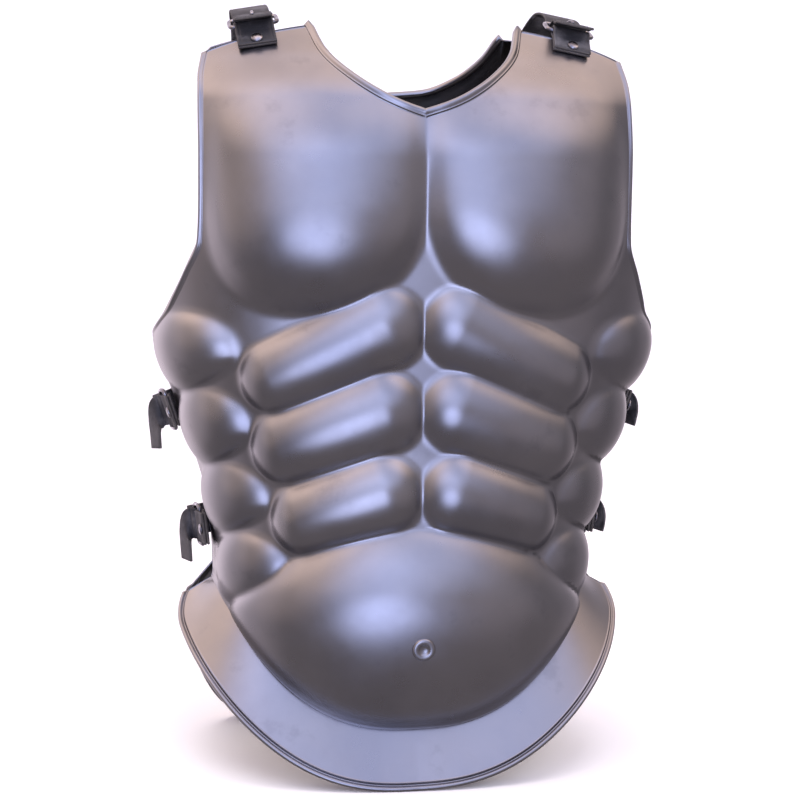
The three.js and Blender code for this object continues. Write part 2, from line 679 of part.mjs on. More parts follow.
// `crossing` is how far the strap slants towards the neck on its way to the back plate.
function shoulderSet(name, hand, crossing) {
  const s = hand * SHOULDER.front;
  const sBack = hand * (SHOULDER.back - crossing);
  const top = shoulderEdgeHeight(FRONT, SHOULDER.front);
  const topBack = shoulderEdgeHeight(BACK, SHOULDER.back - crossing);
  const edge = torso(FRONT, s, top)
    .addScaledVector(torsoNormal(FRONT, s, top), FRONT.relief(Math.abs(s), top));
  const across = torso(BACK, sBack, topBack).sub(edge);
  const frame = workFrame(edge, across, torsoNormal(FRONT, s, top + SHOULDER.tab[1]));
  const tabSpots = SHOULDER.tab.map((d) => [s, top + d]);
  const tab = chape(frame, tabSpots, SHOULDER.reach + crossing / 3);
  const tilt = THREE.MathUtils.degToRad(SHOULDER.tilt);
  const run = [Math.cos(tilt), Math.sin(tilt)];
  const rise = [-run[1], run[0]];
  const barB = go(tab.bar, run, FRAME_LENGTH);
  const backSpots = SHOULDER.anchor.map((d) => [sBack, topBack + d]);
  const back = lying(frame, BACK, backSpots, 0.4 + crossing / 8);
  const overA = go(tab.bar, rise, BAR_TURN + LAYER + SHOULDER.slack);
  const end = SHOULDER.end.map(([forwards, upwards]) => [overA[0] + forwards, overA[1] + upwards]);
  const underB = go(barB, rise, -BAR_TURN - SHOULDER.slack);
  const backEdge = inFrame(frame, back[2].p);
  const arch = SHOULDER.arch.map(([share, height]) => [mix(underB[0], backEdge[0], share), height]);
  const line = flow([backEdge, ...arch, underB, go(overA, run, 7), overA, ...end], 22);
  const over = inPlane(frame, line);
  over.forEach((spot, i) => spot.w.lerp(back[2].w, Math.max(0, 1 - i / 6)).normalize());
  addPiece(`${name}_chape`, band(inPlane(frame, tab.line), SHOULDER_WIDTH), LEATHER);
  addPiece(`${name}_buckle`, frameWire(frame, tab.bar, barB, SHOULDER_WIDTH), STEEL);
  addPiece(`${name}_strap`, band([...back.slice(0, 2), ...over], SHOULDER_WIDTH), LEATHER);
  const aboveStrap = BAR_TURN + LAYER + LEATHER_T / 2 + BUSH + PRONG;
  const heel = go(tab.bar, rise, aboveStrap + SHOULDER.slack);
  const tip = go(go(barB, rise, BAR + BUSH + PRONG), run, BAR);
  const needle = [heel, go(heel, run, 6), tip].map(([l, n]) => frame.at(l, n));
  addPiece(`${name}_prong`, wire(needle, PRONG, false), STEEL);
  rivetOn(`${name}_front_rivet`, inPlane(frame, tab.rivet));
  rivetOn(`${name}_back_rivet`, [back[1], back[0]]);
}

// Side strap: comes forward from the back plate, bulges, turns back round the far bar of the
// buckle and lets its free end hang down.
const SIDE = {
  tab: [-13, -7, -0.5],         // girths of the chape's spots from the front plate's side edge
  anchor: [-42, -32, -26],      // the same for the strap on the back plate
  reach: 7,
  tilt: 14,
  frameLength: 16,
  tabLayer: 1.1,                // layers that the chape lies above the plate
  bulge: 18,                    // how far the strap swells out on its way to the buckle
  entry: [6, -2],               // where it dips behind the far bar, from that bar
  tailOut: 3,                   // the free end leaves the buckle this far before it turns down
  tailTurn: 70,                 // final twist of the free end, in degrees from the outward way
};

// Free end from the far bar: distance outwards in tailOut, drop, and share of the twist.
const TAIL_SPOTS = [[0.6, 0, 0], [1.5, 2, 0.3], [1.9, 8, 0.75], [1.8, 16, 1], [1.5, 28, 1]];

// `hang` scales how far the free end hangs down.
function sideSet(name, hand, z, hang) {
  const s = hand * sideGirth(FRONT, z);
  const sBack = hand * sideGirth(BACK, z);
  const edge = torso(FRONT, s, z);
  const across = torso(BACK, sBack, z).sub(edge);
  const frame = workFrame(edge, across, torsoNormal(FRONT, s, z));
  const tabSpots = SIDE.tab.map((d) => [s + hand * d, z]);
  const tab = chape(frame, tabSpots, SIDE.reach, SIDE.tabLayer);
  const tilt = THREE.MathUtils.degToRad(SIDE.tilt);
  const barB = go(tab.bar, [Math.cos(tilt), Math.sin(tilt)], SIDE.frameLength);
  const back = lying(frame, BACK, SIDE.anchor.map((d) => [sBack + hand * d, z]), 0);
  const [bl, bn] = inFrame(frame, back[2].p);
  const [cl, cn] = barB;
  const loop = bend(barB, BAR_TURN, 280, 80, 6);
  const crest = [mix(cl, bl, 0.62), bn + SIDE.bulge];
  const entry = [cl + SIDE.entry[0], cn + SIDE.entry[1]];
  const swell = [halfway([bl, bn], crest), crest, halfway(crest, entry), entry];
  const line = [...flow([[bl, bn], ...swell, loop[0]], 15), ...loop.slice(1)];
  const turn = THREE.MathUtils.degToRad(SIDE.tailTurn);
  const twisted = frame.n.clone().multiplyScalar(hand * Math.cos(turn))
    .addScaledVector(frame.l, -Math.sin(turn));
  const tail = TAIL_SPOTS.map(([out, drop, share]) => {
    const p = frame.at(cl, cn + BAR_TURN + out * SIDE.tailOut);
    p.z -= drop * hang;
    return { p, w: frame.w.clone().lerp(twisted, share).normalize() };
  });
  const strap = [...back.slice(0, 2), ...inPlane(frame, line), ...tail];
  addPiece(`${name}_chape`, band(inPlane(frame, tab.line), SIDE_WIDTH), LEATHER);
  addPiece(`${name}_buckle`, frameWire(frame, tab.bar, barB, SIDE_WIDTH), STEEL);
  addPiece(`${name}_strap`, band(strap, SIDE_WIDTH), LEATHER);
  rivetOn(`${name}_front_rivet`, inPlane(frame, tab.rivet));
  rivetOn(`${name}_back_rivet`, [back[1], back[0]]);
}

// Heights of the straps on the left and on the right.
const SIDE_STRAPS = [['upper', 268, 272], ['lower', 178, 184]];

SIDE_STRAPS.forEach(([level, leftHeight, rightHeight]) => {
  sideSet(`left_${level}`, -1, leftHeight, 1);
  sideSet(`right_${level}`, 1, rightHeight, 0.5);
});
shoulderSet('left_shoulder', -1, 0);
shoulderSet('right_shoulder', 1, -2);

addPiece('front_plate', united(plateGeometry(FRONT, FRONT_CELLS), navelBoss()), STEEL);
addPiece('back_plate', plateGeometry(BACK, BACK_CELLS), STEEL);

export default object;
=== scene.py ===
"""Muscle cuirass in darkened satin steel: plates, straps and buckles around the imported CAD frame.

The construction is worked out in millimetres on a smooth torso, where a place is a girth s
from the centre line (negative to the left) and a height z. The meshes are made in metres.
"""
import math

import bpy
import numpy as np
from mathutils import Matrix, Vector


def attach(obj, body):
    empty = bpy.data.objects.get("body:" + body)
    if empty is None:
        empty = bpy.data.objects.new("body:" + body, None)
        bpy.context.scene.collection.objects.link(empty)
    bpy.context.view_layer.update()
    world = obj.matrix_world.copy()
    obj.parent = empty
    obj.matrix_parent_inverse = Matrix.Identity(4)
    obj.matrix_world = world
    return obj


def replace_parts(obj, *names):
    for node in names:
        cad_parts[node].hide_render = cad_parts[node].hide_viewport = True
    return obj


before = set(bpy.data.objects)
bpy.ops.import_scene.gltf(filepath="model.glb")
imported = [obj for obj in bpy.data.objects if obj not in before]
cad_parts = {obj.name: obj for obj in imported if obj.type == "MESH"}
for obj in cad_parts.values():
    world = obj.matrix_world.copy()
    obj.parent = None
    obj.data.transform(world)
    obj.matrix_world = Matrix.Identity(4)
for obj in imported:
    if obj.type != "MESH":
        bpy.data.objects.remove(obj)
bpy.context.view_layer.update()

MM = 0.001

# ---------------- dimensions, in millimetres
WALL = 1.4  # sheet thickness
EDGE_GAP = 8  # girth between a plate's side edge and the side plane
NECK_ROLL = 3.3  # radii of the rolled edges
ARM_ROLL = 2.2
RIM_ROLL = 2.6
PLACE = np.array([0, 5.48, -1.82])  # from the working origin to the frame's origin

# Horizontal sections of the torso: height, half width, depth, superellipse exponent.
FRONT_SECTIONS = [
    [43, 143, 103, 2.25], [90, 143, 108, 2.25], [150, 143, 114, 2.2], [205, 149, 116, 2.2],
    [265, 168, 114, 2.3], [328, 189, 113, 2.4], [405, 200, 118, 2.4], [455, 202, 117, 2.4],
    [495, 202, 105, 2.4], [525, 200, 82, 2.3], [552, 198, 52, 2.2],
]
BACK_SECTIONS = [
    [43, 142, 104, 2.25], [90, 142, 102, 2.25], [150, 142, 100, 2.2], [205, 148, 100, 2.2],
    [265, 167, 106, 2.3], [328, 188, 116, 2.4], [405, 199, 122, 2.4], [455, 201, 119, 2.4],
    [495, 201, 107, 2.4], [525, 199, 88, 2.3], [556, 197, 52, 2.2],
]


# ---------------- small mathematics
def mix(a, b, t):
    return a + (b - a) * t


def smooth(x):
    t = np.clip(x, 0, 1)
    return t * t * (3 - 2 * t)


def through(rows, x, column=1):
    """Monotone cubic through rows of [x, y, ...]."""
    rows = np.asarray(rows, float)
    knots = rows[:, 0]
    values = rows[:, column]
    slopes = np.diff(values) / np.diff(knots)
    product = slopes[:-1] * slopes[1:]
    total = slopes[:-1] + slopes[1:]
    turn = np.where(product > 0, 2 * product / np.where(total == 0, 1, total), 0)
    tangents = np.concatenate([slopes[:1], turn, slopes[-1:]])
    i = np.clip(np.searchsorted(knots, x) - 1, 0, len(knots) - 2)
    step = knots[i + 1] - knots[i]
    t = np.clip((x - knots[i]) / step, 0, 1)
    start = values[i] * (1 + 2 * t) * (1 - t) ** 2 + tangents[i] * step * t * (1 - t) ** 2
    end = values[i + 1] * t * t * (3 - 2 * t) + tangents[i + 1] * step * t * t * (t - 1)
    return start + end


def soft_max(a, b, width):
    """The larger of two heights, with the crease between them rounded over `width`."""
    near = np.maximum(width - np.abs(a - b), 0) / width
    return np.maximum(a, b) + near * near * width / 4


def unit(v):
    v = np.asarray(v, float)
    return v / np.linalg.norm(v, axis=-1, keepdims=True)


# ---------------- the torso surface
TABLE_PITCH = 2.0  # height between two rows of a girth table
TABLE_HEIGHTS = np.arange(20.0, 581.0, TABLE_PITCH)
TABLE_GIRTHS = np.arange(0.0, 321.0)
TABLE_STEPS = 240
TABLE_CROWDING = 1.4  # above 1, the steps are shorter near the centre line
NORMAL_STEP = 1.5  # girth and height each way over which a slope is taken


def section_point(sections, angle, z):
    """Half width and depth of the superellipse at height z, at an angle from the centre line."""
    power = 2 / through(sections, z, 3)
    x = through(sections, z, 1) * np.sin(angle) ** power
    y = through(sections, z, 2) * np.maximum(0, np.cos(angle)) ** power
    return x, y


def girth_tables(sections):
    """Angle for each height and girth, and the quarter girth for each height."""
    angles = (math.pi / 2) * np.linspace(0, 1, TABLE_STEPS + 1) ** TABLE_CROWDING
    x, y = section_point(sections, angles[None, :], TABLE_HEIGHTS[:, None])
    pace = np.hypot(np.diff(x, axis=1), np.diff(y, axis=1))
    girth = np.concatenate([np.zeros((len(x), 1)), np.cumsum(pace, axis=1)], axis=1)
    table = np.array([np.interp(TABLE_GIRTHS, row, angles) for row in girth])
    return table, girth[:, -1]


def torso(plate, s, z):
    """Points of the smooth torso at girths s and heights z."""
    s, z = np.broadcast_arrays(np.asarray(s, float), np.asarray(z, float))
    row = np.clip((z - TABLE_HEIGHTS[0]) / TABLE_PITCH, 0, len(TABLE_HEIGHTS) - 1.001)
    col = np.clip(np.abs(s), 0, TABLE_GIRTHS[-1] - 0.001)
    j = row.astype(int)
    i = col.astype(int)
    table = plate["table"]
    low = mix(table[j, i], table[j, i + 1], col - i)
    high = mix(table[j + 1, i], table[j + 1, i + 1], col - i)
    x, y = section_point(plate["sections"], mix(low, high, row - j), z)
    return np.stack([np.where(s < 0, -x, x), plate["side"] * y, z], axis=-1)


def torso_normal(plate, s, z):
    d = NORMAL_STEP
    along = torso(plate, s + d, z) - torso(plate, s - d, z)
    up = torso(plate, s, z + d) - torso(plate, s, z - d)
    return unit(np.cross(along, up)) * -plate["side"]


# ---------------- embossed muscles
CREASE = 3.0  # height over which the creases between lobes are rounded
DOME_EDGE = 0.9  # share of a lobe's reach beyond which its side runs straight

ABDOMEN_ROWS = [
    dict(inner=(28, 335), outer=(106, 299), radii=(30.5, 27), height=13),
    dict(inner=(28, 275), outer=(99, 249), radii=(30.5, 27.5), height=13),
    dict(inner=(28, 216), outer=(85.5, 197), radii=(29.5, 26.5), height=13),
]
SIDE_BULBS = [
    dict(at=(179, 315), half=(46, 30), height=12),
    dict(at=(166, 260), half=(42, 30), height=12),
    dict(at=(154, 207.5), half=(43, 28), height=12),
    dict(at=(137, 157), half=(41, 27.5), height=11),
]
LOBE_POWER = 0.9  # the lower the power, the flatter the top of a lobe
BULB_POWER = 0.8
PECTORAL_POWER = 0.6
DROOP = 0.45  # how much farther down a side bulb reaches at its outer end
PECTORAL = dict(at=(79, 425), half=(76, 77), height=24, fade=(370, 545))
PECTORAL_LOSS = 0.9  # share of its height lost where the fade ends
PECTORAL_SQUARE = 0.5  # added to its outline's exponent of 2 towards the arm,
PECTORAL_TURN = 80  # over this girth
BELLY = dict(height=25, top=191, top_fall=0.0028, half=152)
BELLY_SKEW = 1.1  # above 1, the belly is fullest above its middle
BELLY_POWER = 0.5  # power of its profile at its lower edge
BELLY_SOFTER = 0.3  # added to that power at its upper edge, for a softer crease
BELLY_SIDE_POWER = 0.6
ROOT_BLEND = 6  # height above a plate's root line over which the relief settles


def dome(d, power):
    """Height of a lobe at distance d from its middle; its straight side runs on below zero."""
    top = np.maximum(1 - np.minimum(d, DOME_EDGE) ** 2, 0) ** power
    slope = 2 * power * DOME_EDGE * (1 - DOME_EDGE ** 2) ** (power - 1)
    return top - slope * np.maximum(d - DOME_EDGE, 0)


def pillow(s, z, p):
    """Lobe round a line from an inner to an outer place, its radius changing along the line."""
    run = np.subtract(p["outer"], p["inner"])
    t = ((s - p["inner"][0]) * run[0] + (z - p["inner"][1]) * run[1]) / (run @ run)
    t = np.clip(t, 0, 1)
    off = np.hypot(s - p["inner"][0] - t * run[0], z - p["inner"][1] - t * run[1])
    return p["height"] * dome(off / mix(*p["radii"], t), LOBE_POWER)


def oval(s, z, o):
    """Side bulb: an oval whose lower half reaches farther down at its outer end."""
    across = (s - o["at"][0]) / o["half"][0]
    up = (z - o["at"][1]) / o["half"][1]
    up = np.where(up < 0, up / (1 + DROOP * np.clip(across, -1, 1)), up)
    return o["height"] * dome(np.hypot(across, up), BULB_POWER)


def pectoral(s, z):
    """Round below its middle, running straight up above it, where it fades into the chest."""
    middle, level = PECTORAL["at"]
    across = np.abs(s - middle) / PECTORAL["half"][0]
    down = np.maximum(level - z, 0) / PECTORAL["half"][1]
    fade_from, fade_to = PECTORAL["fade"]
    fade = 1 - PECTORAL_LOSS * smooth((z - fade_from) / (fade_to - fade_from))
    power = 2 + PECTORAL_SQUARE * smooth(0.5 + (s - middle) / PECTORAL_TURN)
    reach = (across ** power + down ** power) ** (1 / power)
    return PECTORAL["height"] * fade * dome(reach, PECTORAL_POWER)


def belly(s, z):
    """Swelling between the root line and an arched upper edge; below zero outside them."""
    bottom = root_height(FRONT, s)
    top = BELLY["top"] - BELLY["top_fall"] * s * s
    t = (z - bottom) / np.maximum(top - bottom, 1)
    inside = np.clip(t, 0, 1)
    profile = np.maximum(np.sin(math.pi * inside ** BELLY_SKEW), 0)
    rise = profile ** (BELLY_POWER + BELLY_SOFTER * inside)
    side = np.maximum(1 - (s / BELLY["half"]) ** 2, 0) ** BELLY_SIDE_POWER
    outside = np.where((t < 0) | (t > 1), -1.0, 0.0)
    return BELLY["height"] * side * rise + outside


def front_relief(s, z):
    s = np.abs(s)
    height = np.zeros(np.broadcast(s, z).shape)
    lobes = [pillow(s, z, row) for row in ABDOMEN_ROWS]
    lobes += [oval(s, z, bulb) for bulb in SIDE_BULBS]
    lobes += [pectoral(s, z), belly(s, z)]
    for lobe in lobes:
        height = soft_max(height, lobe, CREASE)
    # A rounded crease stands up to CREASE / 4 too high, which is taken off above the root line.
    return height - CREASE / 4 * smooth((z - root_height(FRONT, s)) / ROOT_BLEND)


FURROW = dict(depth=5, half=16, bottom=150, top=500, fade=60)
BLADE = dict(at=(82, 425), half=(62, 85), height=7)


def back_relief(s, z):
    s = np.abs(s)
    fade = FURROW["fade"]
    window = smooth((z - FURROW["bottom"]) / fade) * smooth((FURROW["top"] - z) / fade)
    furrow = -FURROW["depth"] * np.exp(-((s / FURROW["half"]) ** 2)) * window
    across = (s - BLADE["at"][0]) / BLADE["half"][0]
    up = (z - BLADE["at"][1]) / BLADE["half"][1]
    return furrow + BLADE["height"] * np.maximum(0, 1 - across ** 2 - up ** 2) ** 2


# ---------------- plate outlines
# Outlines are given for one half as [share of the edge, girth, height].
FRONT = dict(
    side=-1,
    sections=FRONT_SECTIONS,
    relief=front_relief,
    neck=[[0, 0, 484.5], [0.19, 18, 489.5], [0.4, 36.5, 498], [0.62, 54, 510],
          [0.86, 72, 529.5], [1, 79.5, 549]],
    shoulder_end=(153, 530),
    armhole=[[0, 238, 316], [0.16, 207, 330], [0.26, 188, 350], [0.35, 174, 371],
             [0.45, 162, 395], [0.57, 160.5, 426], [0.74, 160, 468], [0.91, 158, 510],
             [1, 153, 530]],
    root=dict(low=42, rise=100, power=2.6, flat=0),
    flange=dict(flare=(19.5, 25), drop=35.44, end_drop=14, end_power=9),
    lean=0.035,
)
BACK = dict(
    side=1,
    sections=BACK_SECTIONS,
    relief=back_relief,
    neck=[[0, 0, 506], [0.3, 32, 509], [0.62, 61, 521], [0.85, 79, 537], [1, 87, 552]],
    shoulder_end=(143, 541),
    armhole=[[0, 240, 316], [0.16, 198, 331], [0.26, 177, 350], [0.35, 162, 371],
             [0.45, 150, 395], [0.57, 147.5, 426], [0.74, 147, 470], [0.91, 146, 515],
             [1, 143, 541]],
    root=dict(low=42, rise=122.5, power=3.2, flat=0.55),
    flange=dict(flare=(19.5, 21), drop=35.7, end_drop=25, end_power=9),
    lean=0,
)
for half in (FRONT, BACK):
    half["table"], half["girth"] = girth_tables(half["sections"])

NECK_SHARE = 0.5  # part of the top edge that is neck, the rest is shoulder
SIDE_SHARE = 0.42  # part of the side edge that is below the armhole
SHOULDER_CROWN = 2  # rise of the shoulder edge above a straight line
FLANGE_CORNER = 18  # girth over which the flange's ends are rounded off
FLANGE_TIP = 0.7  # share of the flange's reach left at its very ends
LEAN_TOP = 150  # height above which nothing leans
WAIST = dict(height=100, half_width=144.5)  # where the root line's distance across is taken
SIDE_TURN = 6  # the higher, the later the side edge turns to the armhole
FLANGE_CROWDING = 1.7  # above 1, the flange's rows lie closer near the root line


def root_height(plate, s):
    """Height of the root line, where the flange starts."""
    root = plate["root"]
    out = np.abs(torso(plate, s, WAIST["height"])[..., 0])
    share = np.clip(out / WAIST["half_width"], 0, 1)
    bent = np.maximum(0, (share - root["flat"]) / (1 - root["flat"]))
    return root["low"] + root["rise"] * bent ** root["power"]


def side_girth(plate, z):
    return np.interp(z, TABLE_HEIGHTS, plate["girth"]) - EDGE_GAP


def bottom_edge(plate, u):
    s = u * side_girth(plate, plate["root"]["low"] + plate["root"]["rise"])
    return s, root_height(plate, s)


def shoulder_height(plate, s):
    start = plate["neck"][-1]
    end = plate["shoulder_end"]
    t = (s - start[1]) / (end[0] - start[1])
    return mix(start[2], end[1], t) + SHOULDER_CROWN * np.sin(math.pi * t)


def top_edge(plate, u):
    """Neck and shoulder, at shares u of the way from the centre line."""
    share = np.clip(u / NECK_SHARE, 0, 1)
    t = np.clip((u - NECK_SHARE) / (1 - NECK_SHARE), 0, 1)
    along = mix(plate["neck"][-1][1], plate["shoulder_end"][0], t)
    on_neck = u <= NECK_SHARE
    s = np.where(on_neck, through(plate["neck"], share, 1), along)
    z = np.where(on_neck, through(plate["neck"], share, 2), shoulder_height(plate, along))
    return s, z


def side_edge(plate, v):
    """Side and armhole, at shares v of the way from the root line."""
    low = bottom_edge(plate, 1.0)[1]
    pit = plate["armhole"][0]
    share = np.clip(v / SIDE_SHARE, 0, 1)
    below = mix(low, pit[2], share)
    t = np.clip((v - SIDE_SHARE) / (1 - SIDE_SHARE), 0, 1)
    under = v <= SIDE_SHARE
    s_below = mix(side_girth(plate, below), pit[1], smooth(share) ** SIDE_TURN)
    s = np.where(under, s_below, through(plate["armhole"], t, 1))
    z = np.where(under, below, through(plate["armhole"], t, 2))
    return s, z


def patch(plate, u, v):
    """Girths and heights inside the outline, blended from its four edges (a Coons patch)."""
    low = bottom_edge(plate, u)
    high = top_edge(plate, u)
    outer = side_edge(plate, v)
    feet = [bottom_edge(plate, 0.0), bottom_edge(plate, 1.0)]
    heads = [top_edge(plate, 0.0), top_edge(plate, 1.0)]
    centre = (0 * v, mix(feet[0][1], heads[0][1], v))
    found = []
    for k in range(2):
        ruled = mix(low[k], high[k], v) + mix(centre[k], outer[k], u)
        corners = mix(mix(feet[0][k], feet[1][k], u), mix(heads[0][k], heads[1][k], u), v)
        found.append(ruled - corners)
    return found


def flange_point(plate, s, w):
    """Points of the flange, at shares w of the way from the root line to the rim."""
    z = root_height(plate, s)
    out = torso_normal(plate, s, z)
    out[..., 2] = 0
    out = unit(out)
    share = np.clip(np.abs(s) / side_girth(plate, z), 0, 1)
    flange = plate["flange"]
    fall = mix(flange["drop"], flange["end_drop"], share ** flange["end_power"])
    past = np.clip((np.abs(s) - side_girth(plate, z)) / FLANGE_CORNER + 1, 0, 1)
    short = w * np.sqrt(1 - (1 - FLANGE_TIP ** 2) * past ** 2)
    reach = short * mix(*flange["flare"], share)
    point = torso(plate, s, z) + out * reach[..., None]
    point[..., 2] -= short * fall
    return point


def leaning(plate, points):
    """Tips the hand-formed lower edge of a plate by its slope, lower at the left."""
    z = points[..., 2]
    points[..., 2] = z + plate["lean"] * points[..., 0] * smooth((LEAN_TOP - z) / LEAN_TOP)
    return points


# Share of the cells up the body, share of the way up: cells are lowest at the root line.
UP_STOPS = np.array([[0, 0], [0.05, 0.013], [0.10, 0.05], [0.66, 0.60], [1, 1]])


def steps_up(up):
    share = np.linspace(0, 1, up + 1)[1:]
    return np.interp(share, UP_STOPS[:, 0], UP_STOPS[:, 1])


def outer_face(plate, across, up, flange_rows):
    """Grids of points and of embossed height, from the flange's rim up to the neck."""
    i = np.arange(-across, across + 1)
    u = np.abs(i)[None, :] / across
    hand = np.where(i < 0, -1, 1)[None, :]
    w = ((np.arange(flange_rows, -1, -1) / flange_rows) ** FLANGE_CROWDING)[:, None]
    s_root = hand * bottom_edge(plate, u)[0] + 0 * w
    flange = flange_point(plate, s_root, w + 0 * u)
    v = steps_up(up)[:, None] + 0 * u
    s, z = patch(plate, u + 0 * v, v)
    lift = plate["relief"](s, z)
    body = torso(plate, hand * s, z) + torso_normal(plate, hand * s, z) * lift[..., None]
    points = leaning(plate, np.concatenate([flange, body]))
    return points, np.concatenate([0 * flange[..., 0], lift])


# ---------------- sheet from a face
# Rolled edge: distances out from the edge and up from the sheet's middle, in roll radii.
BEAD = np.array([
    (0.05, 0.20), (0.22, 0.25), (0.42, 0.43), (0.68, 0.66), (1.00, 0.80), (1.34, 0.76),
    (1.64, 0.50), (1.78, 0.08), (1.68, -0.40), (1.34, -0.75), (0.90, -0.82), (0.45, -0.55),
])
PLAIN_ANGLES = np.radians(np.linspace(75, -75, len(BEAD)))  # for an edge with no roll
INNER_STEP = 4  # the inner face has one cell for this many outer cells each way


def grid_normals(grid, side):
    along = np.gradient(grid, axis=1)
    up = np.gradient(grid, axis=0)
    return unit(np.cross(along, up)) * -side


def lowest_near(lift):
    """Lowest height within one inner cell, so that the coarse inner face stays inside."""
    for axis in (0, 1):
        padded = np.concatenate([lift.take([0] * INNER_STEP, axis), lift,
                                 lift.take([-1] * INNER_STEP, axis)], axis)
        count = lift.shape[axis]
        shifts = [padded.take(range(k, k + count), axis) for k in range(2 * INNER_STEP + 1)]
        lift = np.min(shifts, axis=0)
    return lift


def edge_loop(high, wide):
    """Once round the edge: rim, one side and armhole, shoulders and neck, other side."""
    rows = [(0, i) for i in range(wide)]
    rows += [(j, wide - 1) for j in range(1, high)]
    rows += [(high - 1, i) for i in range(wide - 2, -1, -1)]
    rows += [(j, 0) for j in range(high - 2, 0, -1)]
    return np.array(rows)


def edge_rings(grid, normals, loop, rolls, side):
    points = grid[loop[:, 0], loop[:, 1]]
    normal = normals[loop[:, 0], loop[:, 1]]
    before = unit(points - np.roll(points, 1, axis=0))
    after = unit(np.roll(points, -1, axis=0) - points)
    outward = unit(np.cross(unit(before + after), normal) * -side)
    middle = (points - normal * WALL / 2)[:, None]
    roll = rolls[:, None]
    out_roll = roll * BEAD[:, 0]
    up_roll = roll * BEAD[:, 1]
    out_plain = WALL / 2 * np.cos(PLAIN_ANGLES)[None] + 0 * roll
    up_plain = WALL / 2 * np.sin(PLAIN_ANGLES)[None] + 0 * roll
    across = np.where(roll > 0, out_roll, out_plain)[..., None]
    lift = np.where(roll > 0, up_roll, up_plain)[..., None]
    return middle + outward[:, None] * across + normal[:, None] * lift


def inner_faces(high, wide, index):
    """Coarse cells of the inner face; those on the edge keep every corner of the fine edge."""
    rows = list(range(0, high - 1, INNER_STEP)) + [high - 1]
    cols = list(range(0, wide - 1, INNER_STEP)) + [wide - 1]
    faces = []
    for j0, j1 in zip(rows[:-1], rows[1:]):
        for i0, i1 in zip(cols[:-1], cols[1:]):
            low = range(i0, i1) if j0 == 0 else [i0]
            right = range(j0, j1) if i1 == wide - 1 else [j0]
            top = range(i1, i0, -1) if j1 == high - 1 else [i1]
            left = range(j1, j0, -1) if i0 == 0 else [j1]
            face = [index[j0, i] for i in low] + [index[j, i1] for j in right]
            face += [index[j1, i] for i in top] + [index[j, i0] for j in left]
            faces.append(face)
    return faces


def roll_radii(loop, across, up, flange_rows):
    neck_end = round(NECK_SHARE * across)
    pit = flange_rows + round(SIDE_SHARE * up)
    top = flange_rows + up
    radii = []
    for j, i in loop:
        reach = abs(i - across)
        if j == 0:
            radii.append(0 if reach == across else RIM_ROLL)
        elif j == top:
            radii.append(NECK_ROLL if reach <= neck_end else 0)
        else:
            radii.append(ARM_ROLL if j > pit else 0)
    return np.array(radii, float)


def sheet_mesh(plate, across, up, flange_rows):
    """Points, faces and the material of each face: 1 inside the body, 0 everywhere else."""
    grid, lift = outer_face(plate, across, up, flange_rows)
    side = plate["side"]
    normals = grid_normals(grid, side)
    high, wide = grid.shape[:2]
    loop = edge_loop(high, wide)
    rolls = roll_radii(loop, across, up, flange_rows)
    rings = edge_rings(grid, normals, loop, rolls, side)
    inner = grid - normals * (WALL + lift - lowest_near(lift))[..., None]
    points = np.concatenate([grid.reshape(-1, 3), inner.reshape(-1, 3), rings.reshape(-1, 3)])
    outer_index = np.arange(high * wide).reshape(high, wide)
    inner_index = outer_index + high * wide
    ring_index = np.arange(rings.shape[0] * rings.shape[1]).reshape(rings.shape[:2])
    ring_index = ring_index + 2 * high * wide
    a = outer_index[:-1, :-1]
    b = outer_index[:-1, 1:]
    c = outer_index[1:, 1:]
    d = outer_index[1:, :-1]
    outside = np.stack([a, b, c, d], axis=-1).reshape(-1, 4)
    strips = np.concatenate([
        outer_index[loop[:, 0], loop[:, 1]][:, None], ring_index,
        inner_index[loop[:, 0], loop[:, 1]][:, None]], axis=1)
    following = np.roll(strips, -1, axis=0)
    edge = np.stack([strips[:, :-1], strips[:, 1:], following[:, 1:], following[:, :-1]],
                    axis=-1).reshape(-1, 4)
    inside = [face[::-1] for face in inner_faces(high, wide, inner_index)]
    # Known fault, kept: the edge's faces are wound against the others.
    faces = outside.tolist() + edge[:, ::-1].tolist() + inside
    # The underside of the flange comes first in the inner face and stays bare steel.
    bare = (flange_rows // INNER_STEP) * math.ceil((wide - 1) / INNER_STEP)
    materials = [0] * (len(outside) + len(edge) + bare) + [1] * (len(inside) - bare)
    if side > 0:
        faces = [face[::-1] for face in faces]
    return points, faces, materials


def compact(points, faces):
    """Drops the points that no face uses."""
    used = sorted({i for face in faces for i in face})
    place = {old: new for new, old in enumerate(used)}
    return points[used], [[place[i] for i in face] for face in faces]


def new_object(name, points, faces, materials):
    mesh = bpy.data.meshes.new(name)
    mesh.from_pydata(points, [], faces)
    for material in materials:
        mesh.materials.append(material)
    mesh.polygons.foreach_set("use_smooth", [True] * len(mesh.polygons))
    mesh.update()
    obj = bpy.data.objects.new(name, mesh)
    bpy.context.scene.collection.objects.link(obj)
    return obj


def add_mesh(name, points, faces, materials, indices=None):
    """Makes a smooth mesh object from millimetre points and puts it on the root body."""
    points, faces = compact(np.asarray(points, float), faces)
    obj = new_object(name, ((points + PLACE) * MM).tolist(), faces, materials)
    if indices is not None:
        obj.data.polygons.foreach_set("material_index", indices)
        obj.data.update()
    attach(obj, "root")
    return obj


